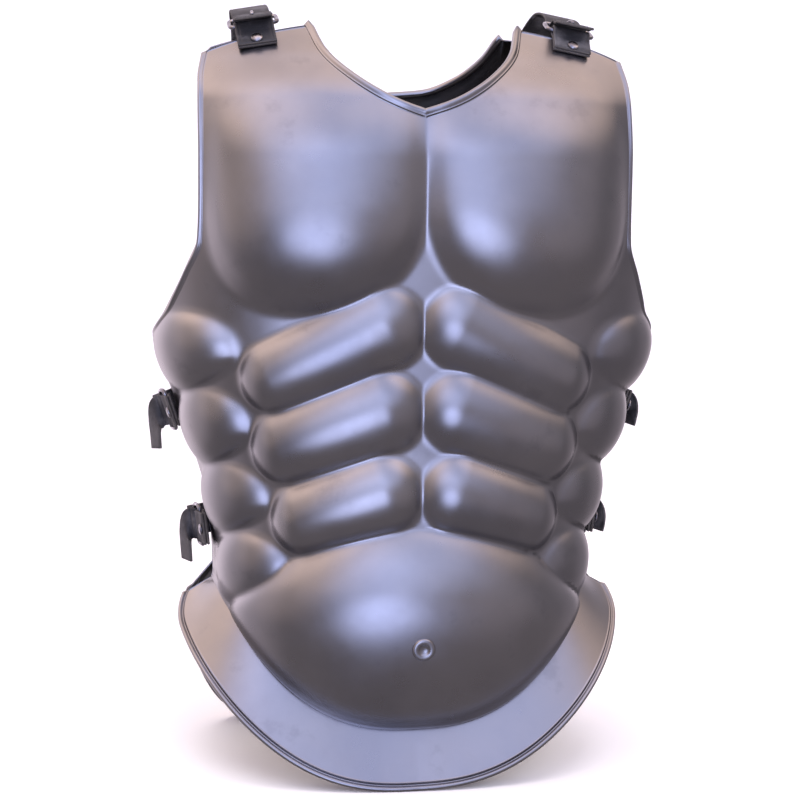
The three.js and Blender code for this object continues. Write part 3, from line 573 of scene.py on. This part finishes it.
# ---------------- straps and buckles
LEATHER_T = 2.0  # strap thickness
SHOULDER_WIDTH = 28
SIDE_WIDTH = 24
BAR = 1.5  # radius of the buckle wire
PRONG = 1.1  # radius of the buckle prong
FRAME_LENGTH = 18  # bar to bar
FRAME_OVERHANG = 3.2  # bar centre line beyond the strap's edge, each side
FRAME_CORNER = 4
BUSH = 0.4  # clearance between separate pieces
SEAT = 0.8  # clearance between a strap and the plate it lies on
RIVET = dict(radius=4.2, height=1.7)
LAYER = LEATHER_T + BUSH  # distance between the middles of two layers of strap
BAR_TURN = BAR + BUSH + LEATHER_T / 2  # middle of a strap bent round a bar
STRAP_TAPER = 0.06  # share of its width that a strap loses at its free end,
TAPER_POINTS = 6  # over this many points of its fine spine
CUT_FROM = 0.95  # share of the half width beyond which the section is cut edge
OFF_AXIS = (0.3, 0.2, 0.9)  # any direction that no rivet or navel stands along


class WorkFrame:
    """l runs along the strap from front to back plate, n outwards, w across."""

    def __init__(self, origin, along, outward):
        self.origin = np.asarray(origin, float)
        self.l = unit(along)
        self.n = unit(outward - self.l * np.dot(outward, self.l))
        self.w = np.cross(self.n, self.l)

    def at(self, l, n, w=0.0):
        return self.origin + self.l * l + self.n * n + self.w * w

    def flat(self, point):
        offset = point - self.origin
        return np.array([offset @ self.l, offset @ self.n])


def catmull_rom(points, per_step):
    """Centripetal curve through the points, per_step points for each stretch."""
    points = np.asarray(points, float)
    ends = [2 * points[0] - points[1], *points, 2 * points[-1] - points[-2]]
    found = []
    for p0, p1, p2, p3 in zip(ends[:-3], ends[1:-2], ends[2:-1], ends[3:]):
        d0, d1, d2 = (np.sqrt(np.linalg.norm(b - a)) for a, b in ((p0, p1), (p1, p2), (p2, p3)))
        m1 = d1 * ((p1 - p0) / d0 - (p2 - p0) / (d0 + d1) + (p2 - p1) / d1)
        m2 = d1 * ((p2 - p1) / d1 - (p3 - p1) / (d1 + d2) + (p3 - p2) / d2)
        for t in np.arange(per_step) / per_step:
            found.append((1 + 2 * t) * (1 - t) ** 2 * p1 + t * (1 - t) ** 2 * m1
                         + t * t * (3 - 2 * t) * p2 + t * t * (t - 1) * m2)
    return np.array([*found, points[-1]])


def fine_spine(spine, per_step=5):
    """Smooths a list of (point, direction across) into many."""
    points = catmull_rom([p for p, _ in spine], per_step)
    place = np.arange(len(points)) / per_step
    across = np.array([w for _, w in spine])
    stops = np.arange(len(spine))
    ways = np.stack([np.interp(place, stops, across[:, k]) for k in range(3)], axis=1)
    return points, unit(ways)


# Half of a strap's section: share of the half width, share of the half thickness. A creased
# line runs along each edge.
STRAP_SECTION = [(0, 1), (0.72, 1), (0.79, 0.98), (0.82, 0.78), (0.85, 0.98), (0.93, 0.96),
                 (0.98, 0.72), (1, 0.3)]


def strap_section():
    quarter = np.array(STRAP_SECTION, float)
    right = np.concatenate([quarter, quarter[::-1] * [1, -1]])
    left = right[::-1] * [-1, 1]
    return np.concatenate([right, left[1:-1]])


def tube_faces(rings, sides, closed=False):
    """Faces between rings of points that follow one another."""
    faces = []
    for i in range(rings if closed else rings - 1):
        j = (i + 1) % rings
        for k in range(sides):
            n = (k + 1) % sides
            faces.append([i * sides + k, i * sides + n, j * sides + n, j * sides + k])
    return faces


def cap_faces(rings, sides):
    last = (rings - 1) * sides
    return [list(range(sides))[::-1], [last + k for k in range(sides)]]


def band_mesh(spine, width, taper=0.0):
    """Strap along a spine: points, faces, and 1 for the faces of its cut edges."""
    points, across = fine_spine(spine)
    run = np.gradient(points, axis=0)
    up = unit(np.cross(across, run))
    ring = strap_section()
    count = len(ring)
    left_over = np.arange(len(points))[::-1]
    narrow = 1 - taper * np.maximum(0, 1 - left_over / TAPER_POINTS) ** 2
    offset = (across[:, None] * (ring[:, 0] * width / 2)[None, :, None] * narrow[:, None, None]
              + up[:, None] * (ring[:, 1] * LEATHER_T / 2)[None, :, None])
    places = points[:, None] + offset
    outer = np.abs(ring[:, 0]) > CUT_FROM
    cut = (outer & np.roll(outer, -1)).astype(int)
    faces = tube_faces(len(points), count) + cap_faces(len(points), count)
    edge = cut.tolist() * (len(points) - 1) + [1, 1]
    return places.reshape(-1, 3), faces, edge


def wire_mesh(path, radius, closed, sides=14, tips=1.0):
    """Round wire along a path; an open one narrows to `tips` of its radius at its ends."""
    path = np.asarray(path, float)
    count = len(path)
    centre = path.mean(axis=0)
    axis = np.cross(path[0] - centre, path[count // 3] - centre)
    size = np.ones(count)
    if closed:
        run = unit(np.roll(path, -1, axis=0) - np.roll(path, 1, axis=0))
    else:
        run = unit(np.gradient(path, axis=0))
        size[0] = size[-1] = tips
    out = unit(np.cross(run, unit(axis)))
    up = np.cross(out, run)
    angle = 2 * math.pi * np.arange(sides) / sides
    places = path[:, None] + radius * size[:, None, None] * (
        out[:, None] * np.cos(angle)[None, :, None] + up[:, None] * np.sin(angle)[None, :, None])
    faces = tube_faces(count, sides, closed)
    if not closed:
        faces += cap_faces(count, sides)
    return places.reshape(-1, 3), faces


def lathe_mesh(profile, seat, out, sides=28):
    """Turned shape: profile of [radius, height] from the rim inwards to the axis."""
    out = unit(out)
    side = unit(np.cross(out, OFF_AXIS))
    other = np.cross(out, side)
    angle = 2 * math.pi * np.arange(sides) / sides
    ring = side[None] * np.cos(angle)[:, None] + other[None] * np.sin(angle)[:, None]
    places = [seat + out * height + ring * radius for radius, height in profile[:-1]]
    points = np.concatenate([*places, [seat + out * profile[-1][1]]])
    faces = tube_faces(len(profile) - 1, sides)
    top = (len(profile) - 2) * sides
    tip = len(points) - 1
    faces += [[top + k, top + (k + 1) % sides, tip] for k in range(sides)]
    faces.append(list(range(sides))[::-1])
    return points, faces


def rivet_profile():
    """A domed head with a short straight skirt."""
    turns = np.radians(np.linspace(0, 90, 8))
    skirt = 0.35
    dome_height = RIVET["height"] - skirt
    rim = [(RIVET["radius"], 0.0)]
    return rim + [(RIVET["radius"] * math.cos(a), skirt + dome_height * math.sin(a)) for a in turns]


def bend(centre, radius, start, end, steps):
    """Arc of spots (along, outwards) about a centre, between two angles in degrees."""
    angle = np.radians(np.linspace(start, end, steps + 1))
    return [np.array([centre[0] + radius * math.cos(a), centre[1] + radius * math.sin(a)])
            for a in angle]


def in_plane(work, line):
    """Spine through spots (along, outwards) of a working frame."""
    return [(work.at(*spot), work.w) for spot in line]


def lying(work, plate, spots, layer):
    """Spine of a strap lying on a plate, `layer` layers up, over girths and heights (s, z)."""
    lift = SEAT + LEATHER_T / 2 + layer * LAYER
    spine = []
    for s, z in spots:
        normal = torso_normal(plate, s, z)
        raised = lift + float(plate["relief"](abs(s), z))
        spine.append((torso(plate, s, z) + normal * raised, unit(np.cross(normal, work.l))))
    return spine


def chape(work, spots, reach, layer=0.0):
    """Leather tab on the front plate, doubled round the first bar of the buckle.

    Gives its line, the middle of that bar, and the two spots that its rivet stands between.
    """
    lower = [work.flat(p) for p, _ in lying(work, FRONT, spots, layer)]
    upper = [work.flat(p) for p, _ in lying(work, FRONT, spots, layer + 1)]
    along = unit(lower[-1] - lower[-2])
    bar = (lower[-1] + upper[-1]) / 2 + along * reach
    slant = math.degrees(math.atan2(along[1], along[0]))
    line = [*lower, *bend(bar, BAR_TURN, slant - 90, slant + 90, 5), *upper[::-1]]
    return line, bar, upper[:2]


def buckle_path(work, bar_a, bar_b, width):
    """Rounded rectangle whose short sides are the two bars across the strap."""
    half = width / 2 + FRAME_OVERHANG
    run = bar_b - bar_a
    length = np.linalg.norm(run)
    path = []
    for end, hand, start in ((1, 1, 0), (1, -1, 270), (0, -1, 180), (0, 1, 90)):
        inset = length - FRAME_CORNER if end else FRAME_CORNER
        for turn in np.linspace(0, 90, 8):
            angle = math.radians(start + 90 - turn)
            share = (inset + FRAME_CORNER * math.cos(angle)) / length
            across = hand * (half - FRAME_CORNER) + FRAME_CORNER * math.sin(angle)
            place = bar_a + run * share
            path.append(work.at(place[0], place[1], across))
    return path


def add_band(name, spine, width, taper=0.0):
    points, faces, edge = band_mesh(spine, width, taper)
    obj = add_mesh(name, points, faces, [LEATHER, LEATHER_EDGE], edge)
    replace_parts(obj, name)


def add_metal(name, points, faces):
    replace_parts(add_mesh(name, points, faces, [BUCKLE_STEEL]), name)


def add_rivet(name, spots):
    """Rivet head on a strap, midway between two spots of its spine."""
    (start, across), (end, _) = spots
    out = unit(np.cross(end - start, across))
    seat = (start + end) / 2 + out * (LEATHER_T / 2 + 2 * BUSH)
    add_metal(name, *lathe_mesh(rivet_profile(), seat, out))


SHOULDER = dict(
    front=116, back=112,  # girths of the strap's middle on each plate
    tab=(-10, -5, -0.5),  # heights of the chape's spots from the shoulder edge
    anchor=(-22, -9, 0),  # the same for the strap on the back plate
    end=((-5, 0.6), (-13, 0.2)),  # free end, from the first bar: forwards and upwards
    reach=8,  # from the chape's last spot to the first bar
    tilt=16,  # rise of the buckle in degrees
    arch=((0.62, 19), (0.36, 20), (0.14, 16)),  # share of the way to the back plate, height
    slack=0.3,  # extra clearance where the strap passes the bars
    back_layer=0.4,  # layers that the strap lies above the back plate
    entry=7,  # where the strap comes up behind the first bar, from that bar
    needle=6,  # straight stretch of the prong
)


def shoulder_set(name, hand, crossing):
    """Strap rising from the back plate, through the buckle, its end lying forwards.

    Its anchor on the back plate is `crossing` millimetres nearer the centre line.
    """
    s = hand * SHOULDER["front"]
    s_back = hand * (SHOULDER["back"] - crossing)
    top = float(shoulder_height(FRONT, SHOULDER["front"]))
    top_back = float(shoulder_height(BACK, SHOULDER["back"] - crossing))
    raised = float(front_relief(s, top))
    edge = torso(FRONT, s, top) + torso_normal(FRONT, s, top) * raised
    across = torso(BACK, s_back, top_back) - edge
    work = WorkFrame(edge, across, torso_normal(FRONT, s, top + SHOULDER["tab"][1]))
    tab_spots = [(s, top + d) for d in SHOULDER["tab"]]
    tab_line, bar_a, tab_rivet = chape(work, tab_spots, SHOULDER["reach"] + crossing / 3)
    tilt = math.radians(SHOULDER["tilt"])
    run = np.array([math.cos(tilt), math.sin(tilt)])
    rise = np.array([-run[1], run[0]])
    bar_b = bar_a + run * FRAME_LENGTH
    back_spots = [(s_back, top_back + d) for d in SHOULDER["anchor"]]
    back = lying(work, BACK, back_spots, SHOULDER["back_layer"] + crossing / 8)
    over_a = bar_a + rise * (BAR_TURN + LAYER + SHOULDER["slack"])
    end = [over_a + np.array(step) for step in SHOULDER["end"]]
    under_b = bar_b - rise * (BAR_TURN + SHOULDER["slack"])
    back_edge = work.flat(back[2][0])
    arch = [np.array([mix(under_b[0], back_edge[0], share), height])
            for share, height in SHOULDER["arch"]]
    entry = over_a + run * SHOULDER["entry"]
    over = in_plane(work, [back_edge, *arch, under_b, entry, over_a, *end])
    # The first two spots turn from the way across on the back plate to that of the buckle.
    over = [(p, unit(mix(w, back[2][1], max(0, 1 - i / 2)))) for i, (p, w) in enumerate(over)]
    add_band(f"{name}_chape", in_plane(work, tab_line), SHOULDER_WIDTH)
    add_metal(f"{name}_buckle",
              *wire_mesh(buckle_path(work, bar_a, bar_b, SHOULDER_WIDTH), BAR, True))
    add_band(f"{name}_strap", [*back[:2], *over], SHOULDER_WIDTH, STRAP_TAPER)
    heel = bar_a + rise * (BAR_TURN + LAYER + LEATHER_T / 2 + BUSH + PRONG + SHOULDER["slack"])
    tip = bar_b + rise * (BAR + BUSH + PRONG) + run * BAR
    needle = [work.at(*spot) for spot in (heel, heel + run * SHOULDER["needle"], tip)]
    add_metal(f"{name}_prong", *wire_mesh(catmull_rom(needle, 6), PRONG, False, tips=0.55))
    add_rivet(f"{name}_front_rivet", in_plane(work, tab_rivet))
    add_rivet(f"{name}_back_rivet", [back[1], back[0]])


SIDE = dict(
    tab=(-13, -7, -0.5),  # girths of the chape's spots from the front plate's side edge
    anchor=(-42, -32, -26),  # the same for the strap on the back plate
    reach=7,  # from the chape's last spot to the first bar
    tilt=14,  # rise of the buckle in degrees
    frame_length=16,  # bar to bar
    tab_layer=1.1,  # layers that the chape lies above the plate
    bulge=18,  # how far the strap swells out on its way to the buckle
    crest=0.62,  # where it swells out most, as a share of the way from the buckle
    loop=(280, 80),  # angles between which it turns back round the far bar
    entry=(6, -2),  # where it dips behind the far bar, from that bar
    tail_out=3,  # the free end leaves the buckle this far before it turns down
    tail_turn=70,  # final twist of the free end, in degrees from the outward way
)
# Free end from the far bar: distance outwards in tail_out, drop in millimetres, share of twist.
TAIL_SPOTS = ((0.6, 0, 0), (1.5, 2, 0.3), (1.9, 8, 0.75), (1.8, 16, 1), (1.5, 28, 1))


def side_set(name, hand, z, hang):
    """Strap from the back plate, turned back round the far bar, its free end hanging down.

    The free end drops by `hang` times what TAIL_SPOTS says.
    """
    s = hand * float(side_girth(FRONT, z))
    s_back = hand * float(side_girth(BACK, z))
    edge = torso(FRONT, s, z)
    across = torso(BACK, s_back, z) - edge
    work = WorkFrame(edge, across, torso_normal(FRONT, s, z))
    tab_spots = [(s + hand * d, z) for d in SIDE["tab"]]
    tab_line, bar_a, tab_rivet = chape(work, tab_spots, SIDE["reach"], SIDE["tab_layer"])
    tilt = math.radians(SIDE["tilt"])
    bar_b = bar_a + np.array([math.cos(tilt), math.sin(tilt)]) * SIDE["frame_length"]
    back = lying(work, BACK, [(s_back + hand * d, z) for d in SIDE["anchor"]], 0)
    bl, bn = work.flat(back[2][0])
    cl, cn = bar_b
    loop = bend(bar_b, BAR_TURN, *SIDE["loop"], 6)
    start = np.array([bl, bn])
    crest = np.array([mix(cl, bl, SIDE["crest"]), bn + SIDE["bulge"]])
    entry = bar_b + SIDE["entry"]
    swell = [start, (start + crest) / 2, crest, (crest + entry) / 2, entry]
    line = in_plane(work, [*swell, *loop])
    turn = math.radians(SIDE["tail_turn"])
    twisted = work.n * math.cos(turn) * hand - work.l * math.sin(turn)
    for out, drop, share in TAIL_SPOTS:
        place = work.at(cl, cn + BAR_TURN + out * SIDE["tail_out"]) - [0, 0, drop * hang]
        line.append((place, unit(mix(work.w, twisted, share))))
    add_band(f"{name}_chape", in_plane(work, tab_line), SIDE_WIDTH)
    add_metal(f"{name}_buckle", *wire_mesh(buckle_path(work, bar_a, bar_b, SIDE_WIDTH), BAR, True))
    add_band(f"{name}_strap", [*back[:2], *line], SIDE_WIDTH, STRAP_TAPER)
    add_rivet(f"{name}_front_rivet", in_plane(work, tab_rivet))
    add_rivet(f"{name}_back_rivet", [back[1], back[0]])


# ---------------- materials
def new_material(name):
    material = bpy.data.materials.new(name)
    material.use_nodes = True
    tree = material.node_tree
    shader = tree.nodes["Principled BSDF"]
    return material, tree, shader


def set_inputs(tree, node, inputs):
    for key, value in inputs.items():
        if isinstance(value, bpy.types.NodeSocket):
            tree.links.new(value, node.inputs[key])
        else:
            node.inputs[key].default_value = value


def add_node(tree, kind, inputs, **settings):
    node = tree.nodes.new(kind)
    for key, value in settings.items():
        setattr(node, key, value)
    set_inputs(tree, node, inputs)
    return node


def place_of(tree):
    return tree.nodes.new("ShaderNodeTexCoord").outputs["Object"]


def noise(tree, place, scale, detail=4, roughness=0.55, stretch=(1, 1, 1)):
    mapping = add_node(tree, "ShaderNodeMapping", {"Vector": place, "Scale": stretch})
    return add_node(tree, "ShaderNodeTexNoise", {
        "Vector": mapping.outputs[0], "Scale": scale, "Detail": detail,
        "Roughness": roughness}).outputs["Fac"]


def spread(tree, value, low, high, to_low, to_high):
    return add_node(tree, "ShaderNodeMapRange", {
        "Value": value, "From Min": low, "From Max": high, "To Min": to_low,
        "To Max": to_high}, interpolation_type="SMOOTHSTEP").outputs[0]


def blend_colours(tree, factor, first, second):
    node = add_node(tree, "ShaderNodeMix", {}, data_type="RGBA")
    tree.links.new(factor, node.inputs["Factor"])
    for socket, colour in (("A", first), ("B", second)):
        target = [i for i in node.inputs if i.identifier == f"{socket}_Color"][0]
        if isinstance(colour, bpy.types.NodeSocket):
            tree.links.new(colour, target)
        else:
            target.default_value = (*colour, 1)
    return [o for o in node.outputs if o.identifier == "Result_Color"][0]


def bump(tree, height, distance, strength=1.0):
    return add_node(tree, "ShaderNodeBump", {
        "Height": height, "Distance": distance, "Strength": strength}).outputs[0]


def plate_steel():
    """Darkened satin steel: soft clouds, darker smudges and a fine grain."""
    material, tree, shader = new_material("plate_steel")
    place = place_of(tree)
    cloud = noise(tree, place, 9, 5)
    smudge = noise(tree, place, 34, 6, 0.6)
    grain = noise(tree, place, 900, 3, 0.5)
    colour = blend_colours(tree, spread(tree, cloud, 0.35, 0.65, 0, 1),
                           (0.36, 0.36, 0.385), (0.43, 0.425, 0.44))
    colour = blend_colours(tree, spread(tree, smudge, 0.60, 0.74, 0, 0.35), colour,
                           (0.27, 0.27, 0.29))
    set_inputs(tree, shader, {
        "Base Color": colour, "Metallic": 1.0,
        "Roughness": spread(tree, smudge, 0.3, 0.7, 0.27, 0.34),
        "Normal": bump(tree, grain, 0.00003, 0.35)})
    return material


def inside_finish():
    """Near-black paint inside the plates."""
    material, tree, shader = new_material("inside_black")
    place = place_of(tree)
    patchy = noise(tree, place, 26, 5)
    colour = blend_colours(tree, spread(tree, patchy, 0.35, 0.7, 0, 1),
                           (0.010, 0.009, 0.010), (0.026, 0.022, 0.021))
    set_inputs(tree, shader, {
        "Base Color": colour, "Roughness": spread(tree, patchy, 0.3, 0.7, 0.55, 0.75),
        "Normal": bump(tree, noise(tree, place, 420, 3), 0.0002, 0.4)})
    return material


def strap_leather():
    """Black leather: fine pebbled grain, creases and greyer rubbed patches."""
    material, tree, shader = new_material("strap_leather")
    place = place_of(tree)
    rubbed = noise(tree, place, 60, 5)
    colour = blend_colours(tree, spread(tree, rubbed, 0.45, 0.72, 0, 1),
                           (0.024, 0.024, 0.029), (0.10, 0.098, 0.11))
    cells = add_node(tree, "ShaderNodeTexVoronoi", {"Vector": place, "Scale": 1100.0},
                     feature="F1").outputs["Distance"]
    pebble = bump(tree, cells, 0.0002, 0.5)
    crease = add_node(tree, "ShaderNodeBump", {
        "Height": noise(tree, place, 190, 4), "Distance": 0.0004, "Strength": 0.5,
        "Normal": pebble}).outputs[0]
    set_inputs(tree, shader, {
        "Base Color": colour, "Roughness": spread(tree, rubbed, 0.3, 0.7, 0.5, 0.66),
        "Normal": crease})
    return material


def leather_edge():
    """Cut edge of the leather, greyer and matt, with short fibres."""
    material, tree, shader = new_material("leather_edge")
    place = place_of(tree)
    fibre = noise(tree, place, 700, 4, 0.6, (1, 1, 0.3))
    colour = blend_colours(tree, fibre, (0.03, 0.028, 0.03), (0.12, 0.11, 0.11))
    set_inputs(tree, shader, {
        "Base Color": colour, "Roughness": 0.8, "Normal": bump(tree, fibre, 0.0002, 0.5)})
    return material


def buckle_steel():
    """Dark satin wire with brighter rubbed spots."""
    material, tree, shader = new_material("buckle_steel")
    place = place_of(tree)
    rubbed = noise(tree, place, 150, 4)
    colour = blend_colours(tree, spread(tree, rubbed, 0.45, 0.65, 0, 1),
                           (0.24, 0.24, 0.27), (0.56, 0.56, 0.60))
    set_inputs(tree, shader, {
        "Base Color": colour, "Metallic": 1.0,
        "Roughness": spread(tree, rubbed, 0.35, 0.65, 0.34, 0.22),
        "Normal": bump(tree, noise(tree, place, 800, 2), 0.0001, 0.3)})
    return material


PLATE_STEEL = plate_steel()
INSIDE = inside_finish()
LEATHER = strap_leather()
LEATHER_EDGE = leather_edge()
BUCKLE_STEEL = buckle_steel()

# ---------------- the plates
FRONT_CELLS = (120, 262, 26)  # cells per half girth, cells up the body, cells down the flange
BACK_CELLS = (84, 170, 18)
NAVEL = dict(z=111, radius=8.4, height=2.2, dimple=3.9)


def navel_profile():
    """Low boss with a rounded shoulder and a dimple."""
    radius, height, dimple = NAVEL["radius"], NAVEL["height"], NAVEL["dimple"]
    turns = np.radians(np.linspace(0, 90, 7))
    fillet = 2.0
    profile = [(radius, -WALL)]
    profile += [(radius - fillet + fillet * math.cos(a), height - fillet + fillet * math.sin(a))
                for a in turns]
    profile += [(dimple + 0.9, height), (dimple + 0.3, height - 0.25), (dimple - 0.4, height * 0.5)]
    profile += [(dimple * 0.55, height * 0.25), (0, height * 0.2)]
    return profile


def add_plate(name, plate, cells, extra=None):
    points, faces, materials = sheet_mesh(plate, *cells)
    if extra:
        more, more_faces = extra
        faces = faces + [[i + len(points) for i in face] for face in more_faces]
        points = np.concatenate([points, more])
        materials = materials + [0] * len(more_faces)
    obj = add_mesh(name, points, faces, [PLATE_STEEL, INSIDE], materials)
    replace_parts(obj, name)


def navel_mesh():
    normal = torso_normal(FRONT, 0.0, NAVEL["z"])
    seat = torso(FRONT, 0.0, NAVEL["z"]) + normal * float(front_relief(0.0, NAVEL["z"]))
    return lathe_mesh(navel_profile(), seat, normal, 40)


add_plate("front_plate", FRONT, FRONT_CELLS, navel_mesh())
add_plate("back_plate", BACK, BACK_CELLS)

# Side straps: level, height at the left, height at the right.
SIDE_STRAPS = (("upper", 268, 272), ("lower", 178, 184))
LEFT_HANG = 1  # the left free ends hang down twice as far as the right ones
RIGHT_HANG = 0.5
RIGHT_CROSSING = -2

for level, left_height, right_height in SIDE_STRAPS:
    side_set(f"left_{level}", -1, left_height, LEFT_HANG)
    side_set(f"right_{level}", 1, right_height, RIGHT_HANG)
shoulder_set("left_shoulder", -1, 0)
shoulder_set("right_shoulder", 1, RIGHT_CROSSING)


# ---------------- camera, floor and light
TARGET = Vector((0, 0.0052, 0.2707))  # metres, as all places below
AZIMUTH = math.radians(-8.9)
ELEVATION = math.radians(6.0)
ROLL = math.radians(0.75)
DISTANCE = 1.5
SENSOR = 36  # millimetres
FOCAL = 2.4375  # focal length as a share of the sensor's width
SHIFT = 0.0025  # share of the picture's width that the object stands left


def add_camera():
    data = bpy.data.cameras.new("camera")
    data.sensor_width = SENSOR
    data.lens = SENSOR * FOCAL
    data.clip_start = 0.05
    data.clip_end = 50
    back = Vector((math.sin(AZIMUTH) * math.cos(ELEVATION),
                   -math.cos(AZIMUTH) * math.cos(ELEVATION), math.sin(ELEVATION)))
    camera = bpy.data.objects.new("camera", data)
    right = Vector((math.cos(AZIMUTH), math.sin(AZIMUTH), 0))
    up = back.cross(right)
    right_turned = right * math.cos(ROLL) + up * math.sin(ROLL)
    up_turned = back.cross(right_turned)
    turn = Matrix((right_turned, up_turned, back)).transposed()
    camera.matrix_world = turn.to_4x4()
    camera.location = TARGET + back * DISTANCE
    data.shift_x = SHIFT
    bpy.context.scene.collection.objects.link(camera)
    bpy.context.scene.camera = camera


def backdrop_material():
    material, tree, shader = new_material("backdrop")
    paper = noise(tree, place_of(tree), 3, 2)
    colour = blend_colours(tree, paper, (0.93, 0.93, 0.935), (0.95, 0.95, 0.95))
    set_inputs(tree, shader, {"Base Color": colour, "Roughness": 0.9})
    return material


def add_backdrop():
    """A pale floor that curves up into a wall behind the object, left out of reflections."""
    width, front, wall, radius, high = 9.0, -4.0, 3.2, 1.6, 5.0
    turns = np.radians(np.linspace(0, 90, 17))
    profile = [(front, 0.0), (-1.0, 0.0), (0.5, 0.0)]
    profile += [(wall - radius + radius * math.sin(a), radius - radius * math.cos(a))
                for a in turns]
    profile.append((wall, high))
    points = [(x, y, z) for y, z in profile for x in (-width / 2, width / 2)]
    faces = [(2 * i, 2 * i + 1, 2 * i + 3, 2 * i + 2) for i in range(len(profile) - 1)]
    obj = new_object("backdrop", points, faces, [backdrop_material()])
    obj.visible_glossy = False


COOL = (0.55, 0.62, 1.0)  # bluish, like daylight
WARM = (1.0, 0.72, 0.58)  # like lamplight
ROSE = (1.0, 0.85, 0.95)  # like light off the walls

# Soft sources in the surroundings: azimuth from the front and elevation in degrees, the angles
# at which each is full and gone, its strength and its tint.
GLOWS = [
    (-9, -9, 4, 24, 2.6, COOL),  # straight ahead, the bright spot on every lobe
    (-15, 20, 5, 34, 0.9, COOL),
    (5, 50, 10, 48, 1.0, COOL),
    (40, 10, 10, 42, 0.15, ROSE),
    (90, 60, 8, 40, 1.2, WARM),  # high up at both sides
    (-100, 60, 8, 42, 1.2, WARM),
    (-45, 45, 8, 35, 0.4, WARM),
    (-70, 20, 8, 40, 0.25, WARM),
    (-120, 0, 10, 55, 0.4, ROSE),
    (135, 0, 10, 50, 0.15, ROSE),
    (-170, 10, 15, 70, 0.9, ROSE),  # behind the object
]
SKY_LOW = (0.20, 0.175, 0.19)  # even light from below and from above
SKY_HIGH = (0.20, 0.19, 0.21)


def add_world():
    world = bpy.data.worlds.new("studio")
    world.use_nodes = True
    bpy.context.scene.world = world
    tree = world.node_tree
    direction = tree.nodes.new("ShaderNodeTexCoord").outputs["Generated"]
    height = add_node(tree, "ShaderNodeSeparateXYZ", {"Vector": direction}).outputs["Z"]
    total = blend_colours(tree, spread(tree, height, -0.5, 0.9, 0, 1), SKY_LOW, SKY_HIGH)
    for azimuth, elevation, full, gone, strength, tint in GLOWS:
        a = math.radians(azimuth)
        e = math.radians(elevation)
        centre = (math.sin(a) * math.cos(e), -math.cos(a) * math.cos(e), math.sin(e))
        nearness = add_node(tree, "ShaderNodeVectorMath", {0: direction, 1: centre},
                            operation="DOT_PRODUCT").outputs["Value"]
        share = spread(tree, nearness, math.cos(math.radians(gone)),
                       math.cos(math.radians(full)), 0, 1)
        colour = [strength * part for part in tint]
        glow = add_node(tree, "ShaderNodeVectorMath", {0: colour}, operation="SCALE")
        tree.links.new(share, glow.inputs["Scale"])
        total = add_node(tree, "ShaderNodeVectorMath", {0: total, 1: glow.outputs[0]},
                         operation="ADD").outputs[0]
    background = tree.nodes["Background"]
    tree.links.new(total, background.inputs["Color"])


def add_lamp(name, place, size, power, colour):
    """Large soft lamp aimed at the object, felt by matt surfaces only."""
    data = bpy.data.lights.new(name, "AREA")
    data.size = size
    data.energy = power
    data.color = colour
    data.specular_factor = 0.0
    lamp = bpy.data.objects.new(name, data)
    lamp.location = place
    lamp.rotation_euler = (TARGET - Vector(place)).to_track_quat("-Z", "Y").to_euler()
    lamp.visible_glossy = False
    bpy.context.scene.collection.objects.link(lamp)


add_camera()
add_backdrop()
add_world()
add_lamp("overhead", (-0.4, -0.6, 3.2), 2.6, 60, (1, 1, 1))
add_lamp("front", (0.6, -3.2, 1.8), 2.0, 40, (1, 1, 1))
bpy.context.scene.view_settings.view_transform = "Standard"
